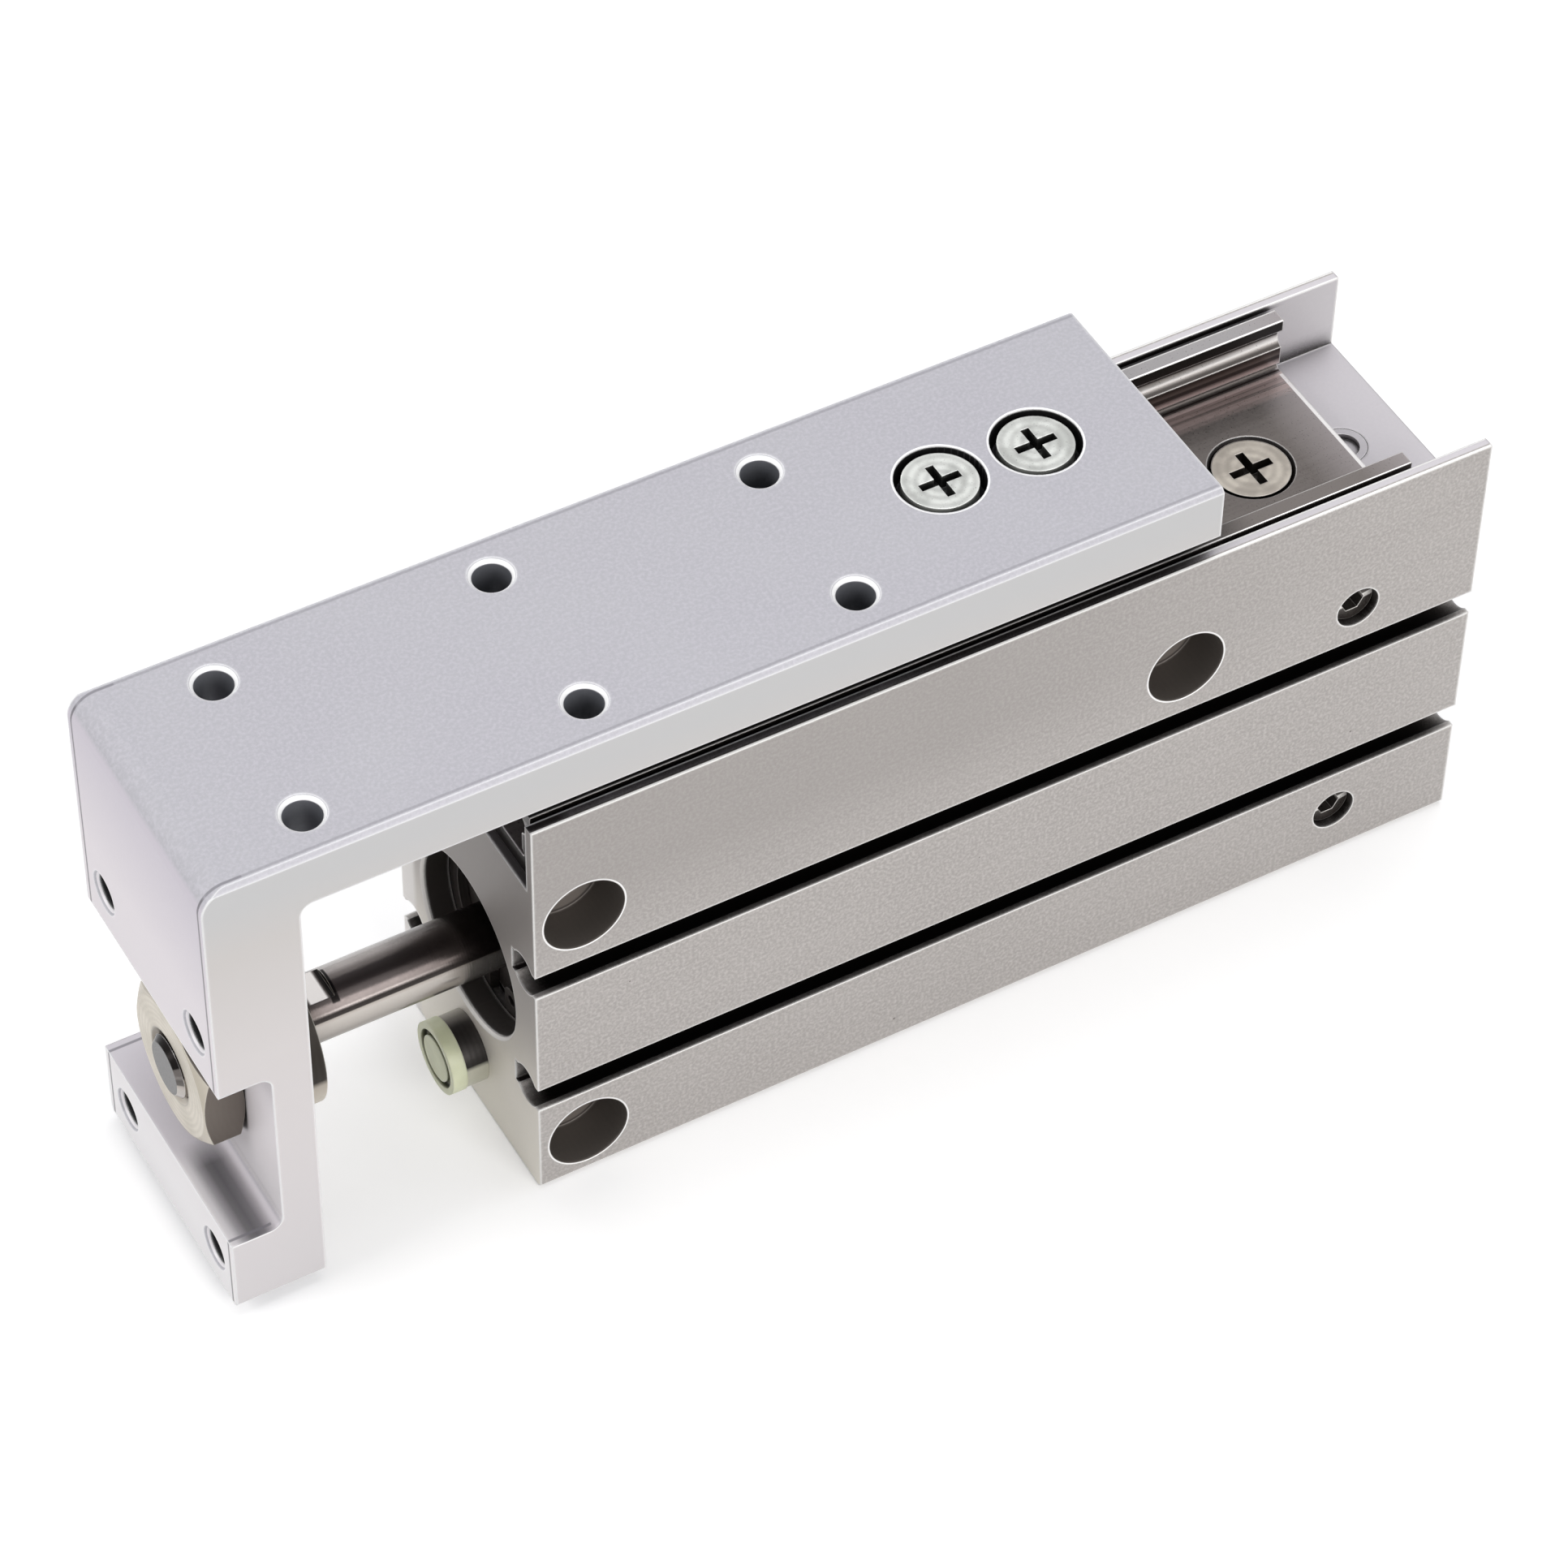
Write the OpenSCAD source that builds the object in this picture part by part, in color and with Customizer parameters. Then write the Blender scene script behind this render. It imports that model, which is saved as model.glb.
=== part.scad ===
// Compact pneumatic slide table: an extruded cylinder body carries a channel rail,
// and a block on that rail carries an L-shaped table that the piston rod pushes.
// X runs along the stroke (+X is extension), Y across, Z up. The origin is the
// centre of the body's bottom face.

/* [Body] */
// Width of the body across the slide
body_w = 25; // [23.5:0.5:30]
// Depth of the channel that holds the rail
channel_depth = 7.8; // [7.5:0.1:8.8]
// Thickness of the two walls beside the channel
channel_wall = 1.05; // [0.8:0.05:1.6]
// Height of the channel's floor above the cylinder's axis
roof_h = 18.2; // [16.5:0.1:21]
// Chamfer along the long edges of the body
body_edge = 0.4; // [0.2:0.1:0.6]
// Distance from the lower side holes up to the lower sensor grooves
groove_rise = 6.7; // [6.3:0.1:7.4]
// Distance from the upper side holes down to the upper sensor grooves
groove_drop = 6.8; // [6.4:0.1:7.5]
// Width of the mouth of a sensor groove
groove_mouth = 2.6; // [2.2:0.1:3]
// Diameter of the round bottom of a sensor groove
groove_d = 4; // [3.6:0.1:4.4]
// Depth of a sensor groove from the side face
groove_depth = 4.1; // [3.8:0.1:4.5]

/* [Cylinder] */
// Length of the piston's travel
stroke = 50; // [40:5:100]
// How far the slide stands out from its retracted end
extension = 16.5; // [5:0.5:30]
// Bore of the cylinder
bore_d = 16; // [14.5:0.5:17]
// Height of the cylinder's axis above the bottom face
axis_z = 19.3; // [18:0.1:21]
// Diameter of the piston rod
rod_d = 6; // [5.4:0.1:6.5]
// Gap left at each end of the travel
stop_gap = 0.3; // [0.2:0.05:0.5]
// Radial running gap of the piston in its bore
piston_gap = 0.08; // [0.03:0.01:0.1]
// Radial running gap of the rod in its bush
rod_gap = 0.04; // [0.02:0.01:0.08]

/* [Covers] */
// Depth of the open recess in front of the rod cover
recess_open = 2.6; // [2:0.1:3.5]
// How far the cover recesses stand out around the bore
recess_step = 0.5; // [0.4:0.05:0.8]
// Chamfer at the mouth of the front recess
mouth_c = 0.3; // [0.2:0.05:0.4]
// Thickness of a retaining ring
snap_t = 0.9; // [0.7:0.1:1.1]
// Depth of a retaining ring's groove beyond the recess wall
snap_bite = 0.55; // [0.4:0.05:0.8]
// How far a retaining ring reaches in from the recess wall
snap_reach = 1.5; // [1.2:0.1:1.8]
// Diameter of the eyes at the ends of a retaining ring
snap_eye_d = 2.6; // [2.2:0.1:2.8]
// Thickness of the flange on each cover
cover_flange = 2; // [1.8:0.1:2.6]
// Length of the rod cover inside the bore
cover_nose = 9.4; // [8.5:0.1:12]
// Length of the head cover inside the bore
head_nose = 1; // [0.6:0.1:1.6]
// Solid lip behind the head cover's retaining ring
head_lip = 0.7; // [0.6:0.1:1.2]
// Thickness of the seal rings on the covers
o_ring_d = 1; // [0.8:0.1:1.2]
// From the step in the rod cover's recess back to its seal ring
cover_seal_back = 3.3; // [2.5:0.1:4]
// Wall of the bush that guides the rod
bush_wall = 1; // [0.8:0.1:1.4]
// Length of the bush that guides the rod
bush_l = 6.4; // [5:0.1:7]
// Wall of the rod seal
rod_seal_wall = 2; // [1.6:0.1:2.6]
// Length of the rod seal
rod_seal_l = 3; // [2.4:0.1:3.6]

/* [Piston] */
// Length of the front half of the piston
piston_front_l = 6.5; // [6:0.1:8]
// Length of the rear half of the piston
piston_rear_l = 5.5; // [5:0.1:7]
// Length of the ring magnet between the halves
magnet_l = 4; // [3:0.1:6]
// Radial gap between the ring magnet and the bore
magnet_gap = 0.7; // [0.5:0.1:1.5]
// Diameter of the threaded end that carries the piston
spigot_d = 4; // [3.5:0.1:4.5]
// Thickness of the front cushion washer
front_pad_t = 1.8; // [1.5:0.1:2.5]
// Height of the rear cushion ring
rear_pad_t = 4.5; // [4.2:0.1:6]
// How far the front cushion stands clear of the bore
front_pad_gap = 2; // [1.5:0.1:2.5]
// How far the rear cushion stands clear of the bore
rear_pad_gap = 1.2; // [1:0.1:1.5]
// Width of the piston seal
piston_seal_w = 2.8; // [2.4:0.1:3.4]
// Depth of the piston seal's groove
piston_seal_h = 2.5; // [2:0.1:3]
// Width of the wear ring
wear_w = 2.4; // [2:0.1:2.8]
// Depth of the wear ring's groove
wear_h = 1; // [0.8:0.1:1.2]
// Width across the flats of the piston nut
piston_nut_w = 7; // [6.4:0.1:8]
// Thickness of the piston nut
piston_nut_t = 3.2; // [2.6:0.1:3.4]

/* [Rail] */
// Gap between the rail and each wall of the channel
rail_side_gap = 0.65; // [0.4:0.05:1.2]
// Thickness of the rail's side walls
rail_wall = 1.5; // [1.3:0.05:1.8]
// Thickness of the rail's floor
rail_floor = 1.9; // [1.7:0.1:2.2]
// Height of the rail from the channel floor
rail_h = 7.65; // [7.2:0.05:8.6]
// Gap between the body's front face and the rail
rail_front_gap = 0.8; // [0.4:0.1:2]
// Gap between the rail and the body's rear face
rail_rear_gap = 7.1; // [6.6:0.1:9]
// Diameter of a guide ball
ball_d = 2; // [1.6:0.1:2.2]
// Height of the ball track above the channel floor
track_h = 5.5; // [5:0.1:5.8]
// Number of rail screws
rail_screws_n = 3; // [2:1:4]
// Distance from the rail's rear end to its first screw
rail_screw_rear = 8.8; // [7.5:0.1:12]
// Distance from the rail's front end to its last screw
rail_screw_front = 10.45; // [9.5:0.05:14]

/* [Guide block] */
// Length of the guide block with its end caps
block_l = 30; // [26:0.5:34]
// Thickness of an end cap
cap_t = 3; // [2:0.5:4]
// Side gap between the block and the rail walls
block_side_gap = 0.6; // [0.5:0.05:0.8]
// Gap between the block and the rail's floor
block_floor_gap = 0.5; // [0.3:0.1:1]
// Gap between the block and the rail's front end at full reach
block_end_gap = 0.35; // [0.2:0.05:1]
// Number of loaded balls in each row
balls_n = 8; // [5:1:9]
// Distance of a return hole from the side of the block
return_in = 3; // [2.6:0.1:3.6]
// Diameter of the end cap screws
cap_screw_d = 1.6; // [1.4:0.1:1.8]
// Length of the end cap screws
cap_screw_l = 6; // [5:0.5:7]
// Distance between the two screws of an end cap
cap_screw_pitch = 5; // [4.5:0.1:5.6]

/* [Table] */
// Gap between the top of the rail and the table
table_gap = 2.45; // [1.5:0.05:4]
// How far the table's sides stand in from the body's
table_inset = 0.1; // [0:0.05:0.5]
// Thickness of the table
table_t = 5.4; // [4.8:0.1:6.5]
// Thickness of the front plate
plate_t = 8.35; // [7.5:0.05:10]
// Gap under the front plate
plate_clear = 1.2; // [0.8:0.1:2]
// Radius of the edge between table and front plate
table_nose_r = 2.4; // [1.5:0.1:4]
// Radius of the relief in the inner corner of the table
table_relief_r = 1.2; // [0.8:0.1:1.6]
// Chamfer along the sides of the table
table_edge = 0.4; // [0.2:0.1:0.6]
// How far the table reaches behind the guide block
table_tail = 0.4; // [0.2:0.1:2]
// Distance from the cylinder's axis down to the nut slot's lower edge
slot_below = 9.9; // [9:0.1:10.9]
// Distance from the cylinder's axis up to the nut slot's upper edge
slot_above = 9.4; // [8.5:0.1:10.3]
// Radius at the bottom of the nut slot
slot_r = 1.2; // [0.8:0.1:1.6]
// How deep the rod's tip lies behind the mouth of the nut slot
slot_sink = 0.45; // [0.2:0.05:1]
// Distance between the rows of table holes along the slide
table_pitch_x = 25; // [20:0.5:28]
// Distance between the two columns of table holes
table_pitch_y = 16; // [14:0.5:18]
// Distance from the front of the plate to the first table holes
table_hole_front = 11; // [9.9:0.1:14]
// Distance between the front plate's holes across the slide
plate_pitch_y = 17; // [15:0.5:18.5]
// Height of the lower holes in the front plate
plate_hole_low_z = 5; // [4.5:0.1:5.6]
// Distance from the cylinder's axis up to the upper holes in the front plate
plate_hole_above = 13.7; // [13:0.1:16]

/* [Screws and holes] */
// Tapping diameter of the mounting holes
tap_d = 3.3; // [3:0.1:3.6]
// Depth of the countersink at the mouth of a tapped hole in the table
tap_sink = 0.4; // [0.2:0.1:0.6]
// Diameter of the through holes across the body
side_hole_d = 4.3; // [4.1:0.1:4.6]
// Diameter of the counterbores on the sides of the body
side_bore_d = 7.5; // [6.8:0.1:8]
// Depth of the counterbores on the sides of the body
side_bore_depth = 4.3; // [3.6:0.1:4.7]
// Depth of the lower side holes from the side face
side_tap_depth = 8; // [7:0.1:8.5]
// Distance from the front face to the front side holes
side_front = 4.7; // [4.3:0.1:5.4]
// Distance from the rear face to the rear side holes
side_rear = 29.9; // [28:0.1:33]
// Distance from the channel's floor down to the upper side holes
side_drop = 4.5; // [4.2:0.1:5]
// Height of the lower side holes
side_low_z = 5; // [4.5:0.1:5.5]
// Distance from the front face to the front holes in the bottom
foot_front = 25; // [22:0.5:28]
// Distance from the rear face to the rear holes in the bottom
foot_rear = 27.6; // [25:0.1:30]
// Distance between the bottom holes across the slide
foot_pitch_y = 16; // [14:0.5:18]
// Depth of the bottom holes
foot_depth = 5.5; // [5:0.1:6]
// Tapping diameter of the air ports
port_d = 4.2; // [3.8:0.1:4.6]
// Depth of the air ports
port_depth = 6.5; // [6:0.1:7]
// Free depth left behind a port's plug
port_air = 1.9; // [1.5:0.1:2.5]
// Distance from the rear face to the air ports
port_rear = 12.3; // [11.5:0.1:13.5]
// Distance from the channel's floor down to the upper air port
port_drop = 5.9; // [5.3:0.1:6.4]
// Height of the lower air port
port_low_z = 5.6; // [5:0.1:6.1]
// Diameter of the air drillings
air_d = 2.4; // [2.1:0.1:2.6]
// Diameter of the balls that close the air drillings
stop_ball_d = 3; // [2.7:0.1:3.3]
// Diameter of the plug in the channel's floor
plug_d = 4.4; // [4:0.1:4.8]
// Thickness of the plug in the channel's floor
plug_t = 2.2; // [1.8:0.1:3]
// Thread diameter of the rail screws and the table screws
screw_d = 4; // [3.5:0.1:4.4]
// Diameter of a rail screw's head
rail_head_d = 7; // [6.4:0.1:7.6]
// Length of a rail screw
rail_screw_l = 6; // [5:0.1:7]
// Diameter of a table screw's head
table_head_d = 6.6; // [6:0.1:7.2]
// Diameter of the counterbores for the table screws
table_bore_d = 7.9; // [7.4:0.1:8.4]
// Depth of the counterbores for the table screws
table_bore_depth = 2.5; // [2:0.1:3]
// Length of a table screw below its head
table_screw_l = 6.5; // [6:0.1:7]
// Distance between the two table screws
table_screw_pitch = 9.25; // [8.5:0.25:12]
// Width across the flats of the rod nut
nut_w = 13; // [11:0.5:14]
// Thickness of the rod nut
nut_t = 3.8; // [3:0.1:4.2]
// Diameter of the collar between rod and plate
collar_d = 15; // [13.5:0.5:16]
// Wall of the collar's sleeve inside the plate
sleeve_wall = 1; // [0.8:0.1:1.2]
// Length of the neck with flats behind the collar
neck_l = 3.7; // [3:0.1:4.5]
// Width across the flats of the neck
neck_flats = 5; // [4.5:0.1:5.3]
// Height of the stop bumper in front of the body
bumper_h = 3.5; // [3.1:0.1:4.5]
// Diameter of the stop bumper
bumper_d = 6.8; // [6.1:0.1:7.4]
// Height of the stop bumper's centre
bumper_z = 6.2; // [5.7:0.1:6.6]
// Thickness of the soft front of the stop bumper
bumper_pad_t = 1.4; // [1:0.1:2]
// Width and depth of the ring groove in its soft front
bumper_groove = 0.6; // [0.4:0.05:0.7]
// Length of the bumper's screw inside the body
bumper_screw_l = 6; // [5:0.1:7]

/* [Hidden] */
$fn = 48;
eps = 0.01;
seat = 0.05;                    // gap between pieces that are laid against each other
hole_gap = 0.15;                // radial gap between a screw and a hole it passes through
tap_gap = 0.05;                 // radial gap between a screw and a hole it is driven into
lead = 0.5;                     // rod or drilling that runs on past a screw or a nut

// Cylinder stations along X, worked out from the front face to the rear one
snap_room = snap_t + 2 * seat;
cover_zone = recess_open + snap_room + cover_flange + cover_nose;
head_zone = head_lip + snap_room + cover_flange + head_nose;
piston_l = front_pad_t + piston_front_l + magnet_l + piston_rear_l + rear_pad_t;
body_l = cover_zone + stop_gap + stroke + piston_l + stop_gap + head_zone;
front = body_l / 2;
rear = -front;
half_w = body_w / 2;
cover_x = front - recess_open - snap_room;          // front face of the rod cover
cover_step_x = cover_x - cover_flange;
cover_end_x = front - cover_zone;
head_x = rear + head_lip + snap_room;               // rear face of the head cover
head_step_x = head_x + cover_flange;
head_end_x = rear + head_zone;
recess_d = bore_d + 2 * recess_step;
bush_d = rod_d + 2 * bush_wall;
rod_seal_d = rod_d + 2 * rod_seal_wall;

// Heights, worked out upwards from the cylinder's axis
channel_z = axis_z + roof_h;
body_h = channel_z + channel_depth;
rail_top = channel_z + rail_h;
rail_floor_z = channel_z + rail_floor;
track_z = channel_z + track_h;
block_z = rail_floor_z + block_floor_gap;
table_under = rail_top + table_gap;
table_z = table_under + table_t;
table_seat_z = table_z - table_bore_depth;
table_head_h = table_bore_depth - 0.2;
side_high_z = channel_z - side_drop;
groove_zs = [side_low_z + groove_rise, side_high_z - groove_drop];
port_high_z = channel_z - port_drop;
slot_low_z = axis_z - slot_below;
slot_high_z = axis_z + slot_above;
plate_hole_zs = [plate_hole_low_z, axis_z + plate_hole_above];

// Places on the slide, at rest
plate_x = front + extension + bumper_h + stop_gap;  // inner face of the front plate
plate_front = plate_x + plate_t;
rod_tip_x = plate_front - slot_sink;
web_x = rod_tip_x - lead - nut_t;                   // bottom of the nut slot
piston_end_x = head_end_x + stop_gap + extension;   // rear end of the rear cushion
piston_rear_x = piston_end_x + rear_pad_t;
magnet_x = piston_rear_x + piston_rear_l;
piston_front_x = magnet_x + magnet_l;
rod_back_x = piston_front_x + piston_front_l;       // shoulder that the piston sits on
collar_t = bumper_h - 2 * seat;
collar_x = plate_x - collar_t;
neck_x = collar_x - neck_l;
sleeve_d = rod_d + 2 * sleeve_wall;
table_w = body_w - 2 * table_inset;

// Rail and block
channel_w = body_w - 2 * channel_wall;
rail_w = channel_w - 2 * rail_side_gap;
rail_in = rail_w / 2 - rail_wall;                   // half width inside the rail
rail_x0 = rear + rail_rear_gap;
rail_x1 = front - rail_front_gap;
track_gap = 0.05;
track_d = ball_d + 2 * track_gap;
block_half = rail_in - block_side_gap;
track_y = rail_in - block_side_gap / 2 - track_gap;
block_x1 = rail_x1 - block_end_gap - (stroke - extension);
block_x0 = block_x1 - block_l;
block_x = (block_x0 + block_x1) / 2;
table_x0 = block_x0 - table_tail;

function spread(n, a, b) = [for (i = [0:n - 1]) a + (b - a) * i / (n - 1)];
rail_screw_xs = spread(rail_screws_n, rail_x0 + rail_screw_rear, rail_x1 - rail_screw_front);
table_screw_xs = [block_x - table_screw_pitch / 2, block_x + table_screw_pitch / 2];
table_hole_xs = [for (i = [0:2]) plate_front - table_hole_front - i * table_pitch_x];
side_xs = [front - side_front, rear + side_rear];
foot_xs = [front - foot_front, rear + foot_rear];
port_x = rear + port_rear;
drop_x = rail_x0 - 0.8;                             // vertical drilling at the rail's rear end
front_air_x = cover_end_x - air_d / 2;              // drilling into the front chamber
air_y = 3.5;                                        // keeps the front drilling off the bumper
rail_head_h = (rail_head_d - screw_d) / 2;
cover_seal_x = cover_step_x - cover_seal_back;      // centre of the rod cover's seal ring
head_seal_x = head_x + cover_flange / 2;
bumper_pad_x = front + bumper_h - bumper_pad_t;     // back of the bumper's soft front
stem_d = bumper_d * 0.37;                           // stem of the bumper's soft front
piston_d = bore_d - 2 * piston_gap;
piston_seal_x = piston_front_x + (piston_front_l - piston_seal_w) / 2;
wear_x = piston_rear_x + (piston_rear_l - wear_w) / 2;
wear_in = bore_d - 2 * wear_h;

// A cylinder along X between two stations, on a line at y, z
module rod_x(x0, x1, y, z, d) {
    translate([x0, y, z]) rotate([0, 90, 0]) cylinder(d = d, h = x1 - x0);
}

// A cone along the cylinder's axis between two stations, from diameter d0 to d1
module cone_x(x0, x1, d0, d1) {
    translate([x0, 0, axis_z]) rotate([0, 90, 0]) cylinder(d1 = d0, d2 = d1, h = x1 - x0);
}

// A cylinder along Y between two stations
module rod_y(y0, y1, x, z, d) {
    translate([x, y0, z]) rotate([-90, 0, 0]) cylinder(d = d, h = y1 - y0);
}

// A cylinder along Z between two stations
module rod_z(z0, z1, x, y, d) {
    translate([x, y, z0]) cylinder(d = d, h = z1 - z0);
}

// A tapped hole downwards from a face at height z1, with a small countersink at its mouth
module tapped_z(z0, z1, x, y) {
    rod_z(z0, z1 + eps, x, y, tap_d);
    translate([x, y, z1 - tap_sink]) cylinder(d1 = tap_d, d2 = tap_d + 2 * tap_sink, h = tap_sink + eps);
}

// The same along X, into a face at x1
module tapped_x(x0, x1, y, z) {
    rod_x(x0, x1 + eps, y, z, tap_d);
    translate([x1 - tap_sink, y, z]) rotate([0, 90, 0])
        cylinder(d1 = tap_d, d2 = tap_d + 2 * tap_sink, h = tap_sink + eps);
}

// A flat outline drawn in Y and Z, extruded from x0 to x1
module prism_x(x0, x1) {
    translate([x0, 0, 0]) rotate([90, 0, 90]) linear_extrude(x1 - x0) children();
}

// A body of revolution about the cylinder's axis; its outline is drawn as [radius, x].
// The turn starts at an angle, to keep its seam away from the corners of a hexagon.
module turned(start = 0) {
    translate([0, 0, axis_z]) rotate([0, 90, 0]) rotate(start) rotate_extrude() children();
}

// A ring about the cylinder's axis
module ring(x0, x1, d_in, d_out) {
    turned() translate([d_in / 2, x0]) square([(d_out - d_in) / 2, x1 - x0]);
}

// A hexagonal prism along X with two upright flats
module hex_x(x0, x1, z, flats) {
    prism_x(x0, x1) translate([0, z]) rotate(30) circle(d = flats / cos(30), $fn = 6);
}

// A cross recess that opens upwards at height z
module cross_recess(x, z, size, depth) {
    for (a = [0, 90]) translate([x, 0, z - depth]) rotate(a)
        translate([-size / 2, -size / 10, 0]) cube([size, size / 5, depth + eps]);
}

// A split retaining ring whose gap points down, with an eye at each end
module snap_ring(x0) {
    r = recess_d / 2 - snap_reach;                  // inner radius of the ring
    gap = snap_eye_d + 0.2;                         // gap between the ring's ends
    eye_y = snap_eye_d;
    eye_z = axis_z - sqrt(r * r - eye_y * eye_y) + 0.2;
    hole_d = snap_eye_d - 1.5;
    difference() {
        union() {
            ring(x0, x0 + snap_t, 2 * r, recess_d + 2 * (snap_bite - seat));
            for (s = [-1, 1]) rod_x(x0, x0 + snap_t, s * eye_y, eye_z, snap_eye_d);
        }
        translate([x0 - eps, -gap / 2, axis_z - recess_d]) cube([snap_t + 2 * eps, gap, recess_d]);
        for (s = [-1, 1]) rod_x(x0 - eps, x0 + snap_t + eps, s * eye_y, eye_z, hole_d);
    }
}

// Outline of the body across the slide
module body_outline() {
    difference() {
        polygon([[-half_w, body_edge], [body_edge - half_w, 0], [half_w - body_edge, 0],
            [half_w, body_edge], [half_w, body_h], [-half_w, body_h]]);
        translate([-channel_w / 2, channel_z]) square([channel_w, body_h]);
        for (s = [-1, 1], z = groove_zs) {
            translate([s * (half_w - groove_depth + groove_d / 2), z]) circle(d = groove_d);
            translate([s * (half_w - groove_depth / 2), z])
                square([groove_depth, groove_mouth], center = true);
        }
    }
}

// Round hole into one side of the body; s is 1 on the +Y side and -1 on the other
module side_hole(s, x, z, d, depth) {
    rod_y(s > 0 ? half_w - depth : -half_w - eps, s > 0 ? half_w + eps : depth - half_w, x, z, d);
}

module air_ways() {
    for (z = [port_high_z, port_low_z]) {
        for (s = [-1, 1]) side_hole(s, port_x, z, port_d, port_depth);
        rod_y(port_depth - 1 - half_w, half_w - port_depth + 1, port_x, z, air_d);
    }
    rod_x(rear - eps, port_x, 0, port_high_z, air_d);
    rod_x(rear - eps, rear + stop_ball_d, 0, port_high_z, stop_ball_d);
    rod_z(axis_z, channel_z, drop_x, 0, air_d);
    rod_z(channel_z - plug_t - seat, channel_z + eps, drop_x, 0, plug_d);
    rod_x(rear - eps, front_air_x, air_y, port_low_z, air_d);
    rod_x(rear - eps, rear + stop_ball_d, air_y, port_low_z, stop_ball_d);
    rod_z(-eps, axis_z, front_air_x, air_y, air_d);
    rod_z(-eps, stop_ball_d, front_air_x, air_y, stop_ball_d);
}

module body() {
    color([0.74, 0.72, 0.70]) difference() {
        prism_x(rear, front) body_outline();
        rod_x(rear - eps, front + eps, 0, axis_z, bore_d);
        rod_x(cover_step_x, front + eps, 0, axis_z, recess_d);
        cone_x(front - mouth_c, front + eps, recess_d, recess_d + 2 * mouth_c);
        rod_x(rear - eps, head_step_x, 0, axis_z, recess_d);
        rod_x(cover_x, cover_x + snap_room, 0, axis_z, recess_d + 2 * snap_bite);
        rod_x(head_x - snap_room, head_x, 0, axis_z, recess_d + 2 * snap_bite);
        for (x = side_xs) {
            rod_y(-half_w - eps, half_w + eps, x, side_high_z, side_hole_d);
            for (s = [-1, 1]) side_hole(s, x, side_high_z, side_bore_d, side_bore_depth);
        }
        for (s = [-1, 1]) {
            side_hole(s, side_xs[0], side_low_z, side_bore_d, side_bore_depth);
            side_hole(s, side_xs[0], side_low_z, tap_d, side_tap_depth);
        }
        for (x = rail_screw_xs)
            rod_z(rail_floor_z - rail_screw_l - lead, channel_z + eps, x, 0, screw_d + 2 * tap_gap);
        for (x = foot_xs, s = [-1, 1]) rod_z(-eps, foot_depth, x, s * foot_pitch_y / 2, tap_d);
        rod_x(front - bumper_screw_l - lead, front + eps, 0, bumper_z, screw_d + 2 * tap_gap);
        air_ways();
    }
}

module guide_rail() {
    relief = 0.7;                                   // groove along each inner corner
    sink = rail_head_h + hole_gap;
    color([0.42, 0.39, 0.36]) difference() {
        prism_x(rail_x0, rail_x1) difference() {
            translate([-rail_w / 2, channel_z]) square([rail_w, rail_h]);
            translate([-rail_in, rail_floor_z]) square([2 * rail_in, rail_h]);
            for (s = [-1, 1]) {
                translate([s * track_y, track_z]) circle(d = track_d);
                translate([s * rail_in, rail_floor_z + relief / 2]) circle(d = relief);
            }
        }
        for (x = rail_screw_xs) {
            rod_z(channel_z - eps, rail_top, x, 0, screw_d + 2 * hole_gap);
            translate([x, 0, rail_floor_z - sink])
                cylinder(d1 = screw_d + 2 * hole_gap, d2 = rail_head_d + 0.8, h = sink + eps);
        }
    }
}

module rail_screws() {
    head_z = rail_floor_z - 2 * seat;
    color([0.80, 0.77, 0.70]) for (x = rail_screw_xs) difference() {
        union() {
            translate([x, 0, head_z - rail_head_h])
                cylinder(d1 = screw_d, d2 = rail_head_d, h = rail_head_h);
            rod_z(rail_floor_z - rail_screw_l, head_z - rail_head_h, x, 0, screw_d);
        }
        cross_recess(x, head_z, rail_head_d * 0.58, rail_head_h - 0.2);
    }
}

module floor_plug() {
    color([0.66, 0.65, 0.64]) difference() {
        rod_z(channel_z - plug_t, channel_z, drop_x, 0, plug_d - 2 * seat);
        rod_z(channel_z - plug_t / 4, channel_z + eps, drop_x, 0, plug_d - 1.4);
    }
}

module drilling_plugs() {
    r = stop_ball_d / 2 - 0.02;
    sunk = stop_ball_d / 2 + 0.2;                   // centre of a ball below the face
    color([0.70, 0.70, 0.71]) {
        translate([rear + sunk, 0, port_high_z]) sphere(r = r);
        translate([rear + sunk, air_y, port_low_z]) sphere(r = r);
        translate([front_air_x, air_y, sunk]) sphere(r = r);
    }
}

module port_plugs() {
    face_y = half_w - 0.9;
    socket_d = port_d * 0.55;
    socket_l = 2.1;
    color([0.55, 0.54, 0.53]) for (z = [port_high_z, port_low_z]) difference() {
        rod_y(half_w - port_depth + port_air, face_y, port_x, z, port_d - 2 * seat);
        translate([port_x, face_y - socket_l, z]) rotate([-90, 0, 0])
            cylinder(d = socket_d, h = port_depth, $fn = 6);
    }
}

module rod_cover() {
    hole_d = rod_d + 0.5;
    color([0.36, 0.36, 0.38]) difference() {
        union() {
            ring(cover_step_x, cover_x, hole_d, recess_d - 2 * seat);
            ring(cover_end_x, cover_step_x, hole_d, bore_d - 2 * seat);
        }
        rod_x(cover_x - rod_seal_l - 2 * seat, cover_x + eps, 0, axis_z, rod_seal_d);
        rod_x(cover_end_x - eps, cover_end_x + bush_l + 2 * seat, 0, axis_z, bush_d);
        seal_groove(cover_seal_x, bore_d);
    }
}

// Groove for a seal ring, centred at x, in a cover that fits a bore of diameter d
module seal_groove(x, d) {
    ring(x - o_ring_d * 0.9, x + o_ring_d * 0.9, d - 2 * o_ring_d - 2 * seat, d + 1);
}

// Seal ring centred at x in its groove, just clear of the bore of diameter d
module seal_ring(x, d) {
    turned() translate([d / 2 - o_ring_d / 2 - seat, x]) circle(d = o_ring_d - 0.02);
}

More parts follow.
